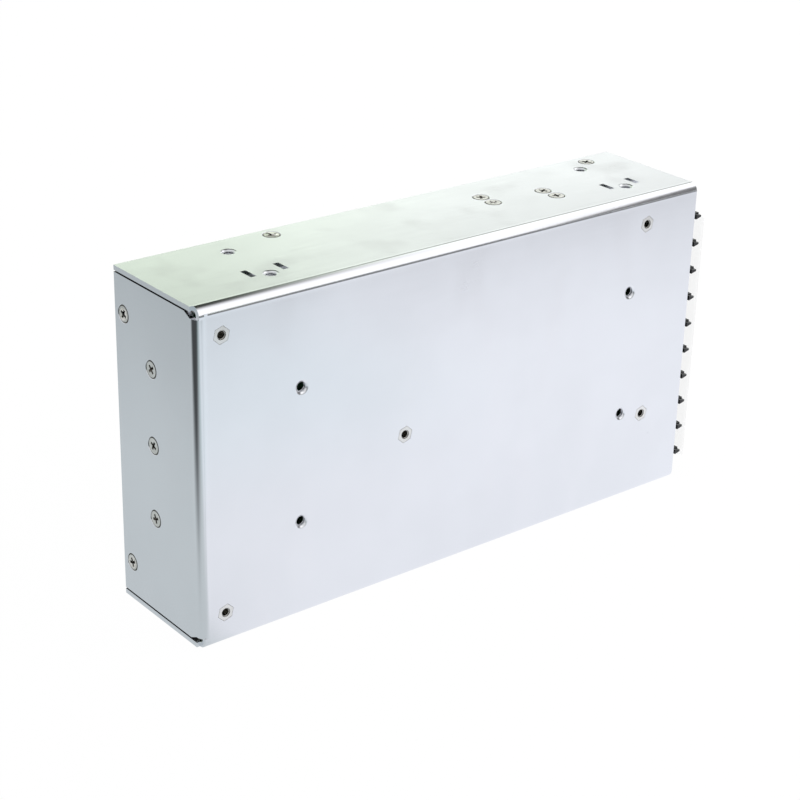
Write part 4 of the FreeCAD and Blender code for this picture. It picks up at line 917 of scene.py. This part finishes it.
studioLook = {
    "floor": (0.86, 0.86, 0.87, 1.0), "floorWhite": 0.97, "floorSize": 4.0, "floorCells": 8,
    "floorDrop": 0.2 * mm, "floorTone": 0.99, "floorScale": 60.0, "paper": (1.015, 1.015, 1.015, 1.0),
    "fill": 0.45,
    # ground to leftTone: the lighter and darker zones of the floor's painted glow, seen only in reflections
    "ground": ((0.20, (0.47, 0.51, 0.52, 1.0)), (0.33, (0.505, 0.545, 0.56, 1.0)),
               (0.49, (0.615, 0.66, 0.677, 1.0)), (0.595, (0.60, 0.643, 0.66, 1.0)),
               (0.625, (0.885, 0.90, 0.945, 1.0)), (0.70, (0.926, 0.94, 0.987, 1.0)),
               (0.86, (0.955, 0.97, 1.02, 1.0)), (1.0, (0.985, 1.0, 1.05, 1.0))),
    "groundScale": 2.0, "groundShift": 0.8,
    "frontSlope": 1.33, "frontEdge": (0.0, 0.10), "frontTone": (0.885, 0.90, 0.945, 1.0),
    "darkTurn": 0.1, "darkSlope": 0.70, "darkEdge": (0.0, 0.16, 0.0, 0.86), "darkTone": (0.0, 0.0, 0.0, 1.0),
    "near": (-0.27, -0.13, 0.08, 0.0), "far": (-0.36, -0.235, 0.75, 0.0),
    "rightSide": (0.14, 0.31), "rightDepth": (-0.195, -0.24), "rightDim": 0.17,
    "leftSide": (0.12, 0.03), "leftDepth": (-0.08, -0.16), "leftDim": 0.18,
    "leftTone": (0.55, 0.83, 0.87, 1.0),
    "sky": ((0.0, (0.70, 0.71, 0.73, 1.0)), (0.40, (0.74, 0.76, 0.76, 1.0)),
            (0.66, (0.98, 1.10, 0.91, 1.0)), (0.74, (1.12, 1.26, 1.05, 1.0)),
            (0.775, (1.31, 1.42, 1.25, 1.0)), (0.81, (1.42, 1.47, 1.40, 1.0)),
            (0.85, (1.45, 1.48, 1.44, 1.0)), (1.0, (1.40, 1.42, 1.40, 1.0))),
    "ceiling": 0.03, "ceilingSide": (0.50, 0.62), "ceilingFoot": (0.435, 0.50), "ceilingTop": (1.12, 2.15),
    "railTop": (0.72, 0.95), "rail": 0.75,
    "screen": (1.25, 1.24, 1.25, 1.0), "screenFoot": (0.8, 1.5), "backScreen": (0.84, 0.84, 0.85, 1.0),
    "screenSide": (0.05, 0.34), "horizon": 0.15, "horizonEdge": (2.95, 3.12),
    "horizonLift": 0.9, "horizonSide": (0.64, 0.72),
}


def rays(nodes):
    # seen straight or through something clear, and seen as a reflection
    camera, glossy, through = (nodes.node("ShaderNodeLightPath", out=i) for i in (0, 3, 6))
    shown = camera.most(through)
    return shown, glossy * (1.0 - shown)


def studioFloor(look):
    mesh = bmesh.new()
    cells = look["floorCells"]
    bmesh.ops.create_grid(mesh, x_segments=cells, y_segments=cells, size=look["floorSize"])
    for vertex in mesh.verts:
        vertex.co.z -= look["floorDrop"]
    data = bpy.data.meshes.new("floor")
    mesh.to_mesh(data)
    mesh.free()
    newObject("floor", data)
    finish = Finish("floorPaper", {"Roughness": 0.8, "Specular IOR Level": 0.2})
    paper = finish.noise(look["floorScale"])
    finish.set(colour=finish.blendColour(paper, look["floor"], shade(look["floor"], look["floorTone"])),
               normal=finish.bump(paper, depth=0.05 * mm, strength=0.1))
    # painted reflection: the floor glows, an even white to camera rays and rays through clear parts, and a
    # glow with lighter and darker zones, the darkest going to black, where metal reflects it
    shown, mirrored = rays(finish)
    x, y = finish.split(finish.place)[:2]
    left, ahead = x - caseLow.x, y - caseLow.y
    across = x * look["groundScale"] + look["groundShift"]
    tone = finish.node("ShaderNodeValToRGB", {"stops": look["ground"]}, {0: across})
    front = (left * look["frontSlope"] - ahead).fade(*look["frontEdge"]) * (1.0 - left.above(0.0))
    tone = finish.blendColour(front, tone, look["frontTone"])
    cool = x.fade(*look["leftSide"]) * y.fade(*look["leftDepth"]) * look["leftDim"]
    tone = finish.blendColour(cool, tone, look["leftTone"])
    aside = (ahead - left * look["darkTurn"]).size() * look["darkSlope"]
    dark = (0.0 - left - aside).fade(*look["darkEdge"])
    dark = dark.most(y.fade(*look["near"])).most(y.fade(*look["far"]))
    dark = dark.most(x.fade(*look["rightSide"]) * y.fade(*look["rightDepth"]) * look["rightDim"])
    dimmed = finish.blendColour(dark, tone, look["darkTone"])
    colour = finish.blendColour(mirrored, look["paper"], dimmed)
    floorGlow = finish.node("ShaderNodeEmission", {}, {"Color": colour})
    share = shown * look["floorWhite"] + mirrored
    painted = Flow(finish, finish.shader.outputs[0])
    both = finish.node("ShaderNodeMixShader", {}, {0: share, 1: painted, 2: floorGlow})
    finish.tree.links.new(both.socket, finish.surface.inputs[0])
    data.materials.append(finish.material)


def studioWorld(look):
    # what metal reflects: pale backdrop, darker ceiling over it, a bright screen in front, a dim horizon
    world = bpy.data.worlds.new("studio")
    bpy.context.scene.world = world
    world.use_nodes = True
    nodes = Nodes(world.node_tree)
    nodes.tree.nodes.clear()
    shown, mirrored = rays(nodes)
    x, y, z = nodes.split(nodes.node("ShaderNodeTexCoord", out=0))
    turn = z.maths("ARCTAN2", z, y)
    sky = nodes.node("ShaderNodeValToRGB", {"stops": look["sky"]}, {0: x * 0.5 + 0.5})
    side = x.fade(*look["screenSide"])
    screen = nodes.blendColour(side, look["backScreen"], look["screen"])
    sky = nodes.blendColour(turn.fade(*look["screenFoot"]), sky, screen)
    ceiling = x.fade(look["ceilingSide"][1], look["ceilingSide"][0])
    ceiling = ceiling * turn.fade(look["ceilingTop"][1], look["ceilingTop"][0])
    rail = turn.fade(look["railTop"][1], look["railTop"][0]) * look["rail"]
    ceiling = ceiling.most(rail) * turn.fade(*look["ceilingFoot"]) * side
    horizon = (turn + x.fade(*look["horizonSide"]) * look["horizonLift"]).fade(*look["horizonEdge"])
    level = (1.0 - ceiling * (1.0 - look["ceiling"])) * (1.0 - horizon * (1.0 - look["horizon"]))
    strength = shown + (1.0 - shown) * (mirrored * level + (1.0 - mirrored) * look["fill"])
    colour = nodes.blendColour(mirrored, (1.0, 1.0, 1.0, 1.0), sky)
    ground = nodes.node("ShaderNodeBackground", {}, {"Color": colour, "Strength": strength})
    output = nodes.tree.nodes.new("ShaderNodeOutputWorld")
    nodes.tree.links.new(ground.socket, output.inputs[0])


lampLooks = {
    "keyPanel": {"place": (0.75, -0.65, 0.55), "size": (0.9, 0.7), "power": 5.0,
                 "colour": (0.99, 0.99, 1.0)},
    "topPanel": {"place": (0.9, 0.6, 0.9), "size": (0.8, 0.8), "power": 3.0, "colour": (0.98, 1.0, 0.98)},
}
lampAim = Vector((0.0, 0.0, 0.05))


def lamp(name, look):
    data = bpy.data.lights.new(name, "AREA")
    data.shape = "RECTANGLE"
    data.size, data.size_y = look["size"]
    data.energy = look["power"]
    data.color = look["colour"]
    thing = newObject(name, data)
    thing.location = look["place"]
    thing.visible_glossy = False
    thing.rotation_euler = (lampAim - Vector(look["place"])).to_track_quat("-Z", "Y").to_euler()


studioFloor(studioLook)
studioWorld(studioLook)
for name, look in lampLooks.items():
    lamp(name, look)

cameraLook = {"place": (-258.5, -405.6, 296.2), "aim": (70.25, 0.0, 60.55), "roll": math.radians(1.489),
              "lens": 87.75, "sensor": 36.0, "clip": (0.02, 20.0)}


def photoCamera(look):
    data = bpy.data.cameras.new("photoCamera")
    data.lens, data.sensor_width = look["lens"], look["sensor"]
    data.clip_start, data.clip_end = look["clip"]
    camera = newObject("photoCamera", data)
    place, aim = at(*look["place"]), at(*look["aim"])
    back = (place - aim).normalized()
    flatRight = Vector((0.0, 0.0, 1.0)).cross(back).normalized()
    flatUp = back.cross(flatRight)
    right = flatRight * math.cos(look["roll"]) + flatUp * math.sin(look["roll"])
    up = back.cross(right)
    turn = Matrix((right, up, back)).transposed().to_4x4()
    camera.matrix_world = Matrix.Translation(place) @ turn
    bpy.context.scene.camera = camera


photoCamera(cameraLook)
bpy.context.scene.view_settings.view_transform = "Standard"
print("studio ready")
